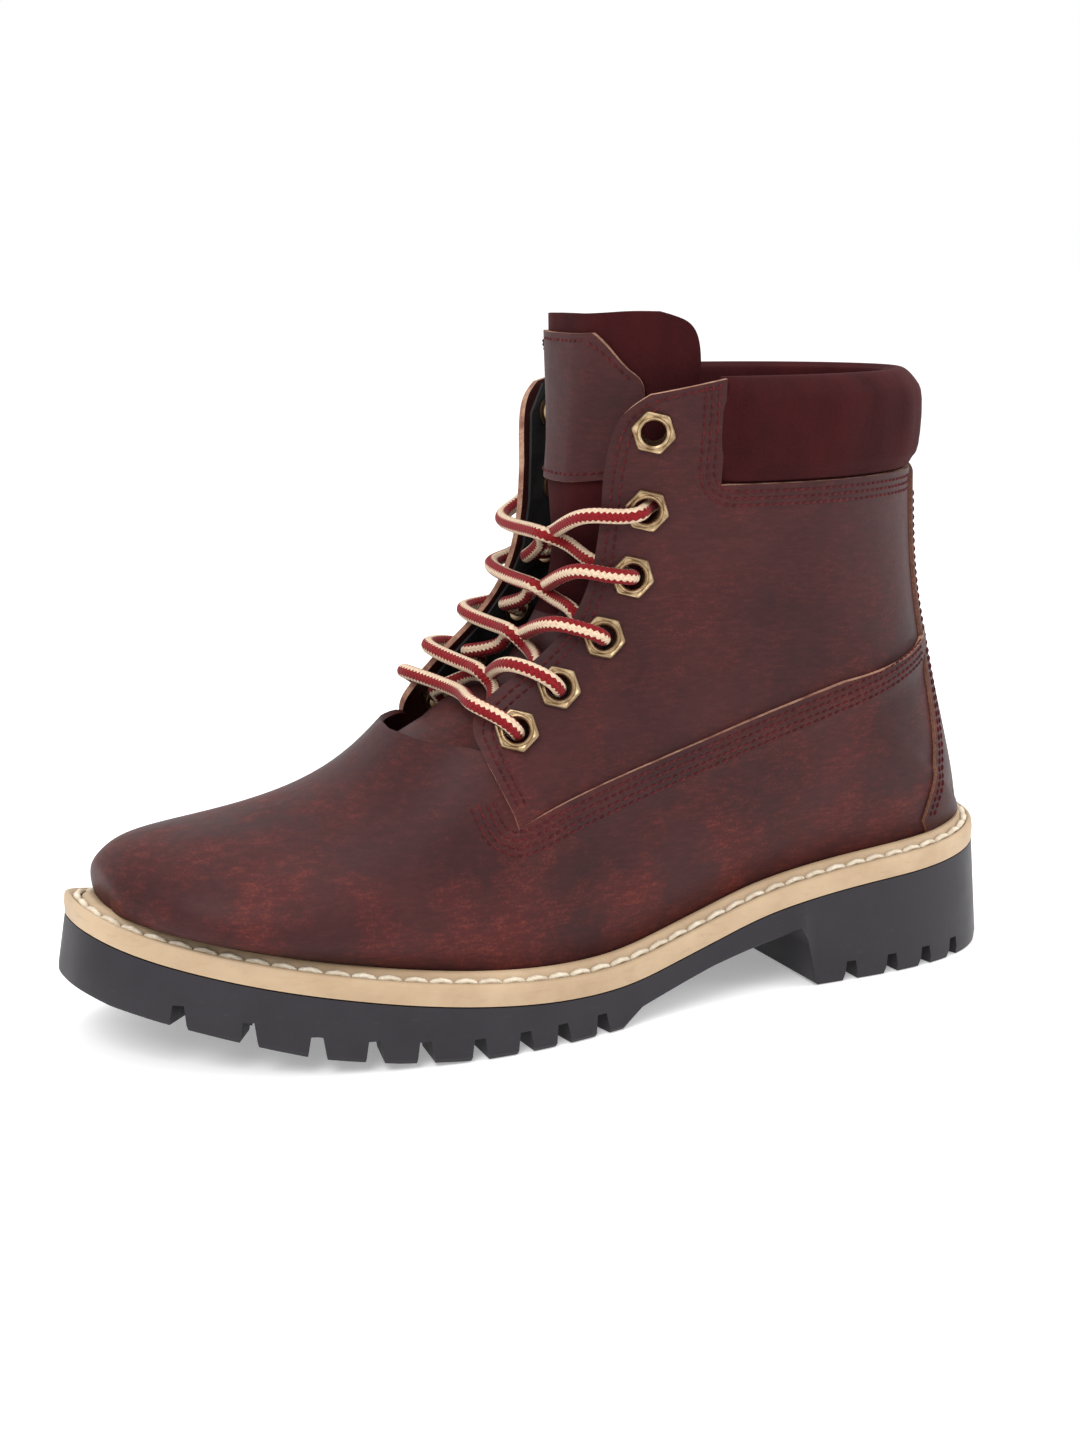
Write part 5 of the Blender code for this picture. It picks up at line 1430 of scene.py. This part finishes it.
def make_tongue():
    sides = []
    overlays = []
    for side in (LATERAL, MEDIAL):
        rows = []
        for ridge_z, edge_x, edge_z in TONGUE_ROWS:
            drop = MEDIAL_DROP * float(ease(edge_z, 185, 203)) if side == MEDIAL else 0.0
            rows.append(tongue_row(ridge_z, edge_x, edge_z - drop, side))
        sides.append(fine(np.stack(rows), 90, 30))
        overlays.append(fine(np.stack([tongue_row(*row, side, 6) for row in PATCH_ROWS]), 44, 20))
    tongue = shell("padded_tongue", sides, lambda p: tongue_depth(p) - 0.0 * padding(p),
                   lambda p: tongue_depth(p) + TONGUE_THICKNESS + padding(p), [NUBUCK, LEATHER_LOOK],
                   round_edge=1.0)
    tongue.data.polygons.foreach_set("material_index", [
        int(face.center.z < SMOOTH_TONGUE * MM) for face in tongue.data.polygons])
    overlay = shell("tongue_overlay", overlays, lambda p: tongue_depth(p) - 1.5,
                    lambda p: tongue_depth(p) + 0.3, [LEATHER_LOOK, RAW_EDGE], round_edge=0.25)
    rows = []
    for side in (LATERAL, MEDIAL):
        bottom = tongue_row(157.7, 8, 157.7, side, 12)
        slope = polyline([(8.8, 170), (8.3, 180.2), (-8.6, 195.3)], 40)[16:]
        slope = spots(slope, side)
        for line in (bottom, tongue_row(195.4, -8.6, 195.4, side, 5), slope):
            place = last_point(line[:, 0], line[:, 1])
            outward = last_normal(line[:, 0], line[:, 1])
            rows.append((place - outward * (tongue_depth(place) - 1.5)[:, None], outward))
    thread = stitches("tongue_stitches", rows, RED_THREAD)
    for piece, slot in ((tongue, "burgundy_nubuck"), (overlay, "burgundy_leather"),
                        (thread, "burgundy_leather")):
        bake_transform(piece)
    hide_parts("tongue", "tongue_flap")
    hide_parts("tongue_patch_lower", "tongue_patch_upper")


# ---------------------------------------------------------------- eyelets
def make_eyelets():
    """Six-sided plates with a bevelled face and a rolled rim round the bore."""
    flat = EYELET_FLATS / 2
    bore = EYELET_BORE / 2
    profile = [(bore, WASHER_FACE, 0), (bore, 0.9, 0), (bore + 0.15, 1.45, 0), (bore + 0.5, 1.75, 0),
               (bore + 0.9, 1.7, 0), (bore + 1.15, 1.35, 0), (flat - 0.95, 1.35, 1), (flat - 0.55, 1.6, 1),
               (flat - 0.25, 1.55, 1), (flat, 1.2, 1), (flat, 0.15, 1), (BARREL, 0.15, 0), (BARREL, -4.5, 0),
               (5.0, -4.5, 0), (5.0, WASHER_FACE, 0)]
    turn = np.linspace(0, 2 * math.pi, 48, endpoint=False)
    for side, word in ((LATERAL, "lateral"), (MEDIAL, "medial")):
        for number in range(len(EYELETS)):
            centre, outward, up, across = eyelet_frame(number, side)
            lift = OVERLAP * 0.5 if number == 0 else 0.0
            rings = []
            for radius, height, six in profile:
                raised = height + (lift if height > 0 else 0.0)
                ring = []
                for a in turn:
                    reach = radius
                    if six:
                        reach = radius / math.cos((a + math.pi / 6) % (math.pi / 3) - math.pi / 6)
                        reach = min(reach, radius * 1.13)
                    ring.append(centre + outward * raised + (up * math.cos(a) + across * math.sin(a)) * reach)
                rings.append(ring)
            eyelet = lofted(f"hex_eyelet_{word}_{number + 1}", rings, [BRASS], closed=True, sharp=32)
            place_piece(eyelet, "antique_brass", f"eyelet_{word}_{number + 1}")


BARREL = 4.1


# ---------------------------------------------------------------- CAD pieces that keep their shape
def dress_cad():
    looks = {"vamp_lining": LINING, "quarter_lining": LINING, "footbed": FOOTBED}
    for name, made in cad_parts.items():
        look = looks.get(name)
        if name in ("cork_filler", "insole_board", "heel_counter", "toe_puff"):
            look = RAW_EDGE
        if name == "steel_shank":
            look = BRASS
        if look:
            for slot in made.material_slots:
                slot.material = look


# ---------------------------------------------------------------- stage
FLOOR_GLOW = 0.3


def make_stage():
    made, tree, shader, place = new_look("pale_floor", 0.9, specular=0.1)
    shade = noise(tree, place, 2.0, 2.0, 0.5)
    base = mix(tree, between_values(tree, shade, 0.3, 0.7), (0.80, 0.80, 0.80), (0.84, 0.84, 0.84))
    tree.links.new(base, shader.inputs["Base Color"])
    shader.inputs["Emission Color"].default_value = (1, 1, 1, 1)
    shader.inputs["Emission Strength"].default_value = FLOOR_GLOW
    mesh = bpy.data.meshes.new("floor")
    mesh.from_pydata([(-40, -40, 0), (40, -40, 0), (40, 40, 0), (-40, 40, 0)], [], [(0, 1, 2, 3)])
    mesh.materials.append(made)
    floor = bpy.data.objects.new("floor", mesh)
    floor.location.z = -0.0003
    bpy.context.scene.collection.objects.link(floor)
    world = bpy.data.worlds.new("studio")
    world.use_nodes = True
    world.node_tree.nodes["Background"].inputs["Color"].default_value = (1, 1, 1, 1)
    world.node_tree.nodes["Background"].inputs["Strength"].default_value = 1.0
    bpy.context.scene.world = world
    bpy.context.scene.view_settings.view_transform = "Standard"
    softbox("key", (-0.9, -0.9, 1.3), 0.9, 16.0)
    softbox("top", (0.3, 0.1, 1.5), 1.0, 8.0)
    softbox("side", (1.2, -0.7, 0.7), 0.6, 5.0)


def softbox(name, place, size, power):
    light = bpy.data.lights.new(name, "AREA")
    light.shape = "SQUARE"
    light.size = size
    light.energy = power
    made = bpy.data.objects.new(name, light)
    made.location = place
    toward = Vector((0, 0, 0.08)) - Vector(place)
    made.rotation_euler = toward.to_track_quat("-Z", "Y").to_euler()
    bpy.context.scene.collection.objects.link(made)


make_camera()
make_lace()
make_sole()
make_welt()
make_upper()
make_seams()
make_collar()
make_tongue()
make_eyelets()
dress_cad()
make_stage()
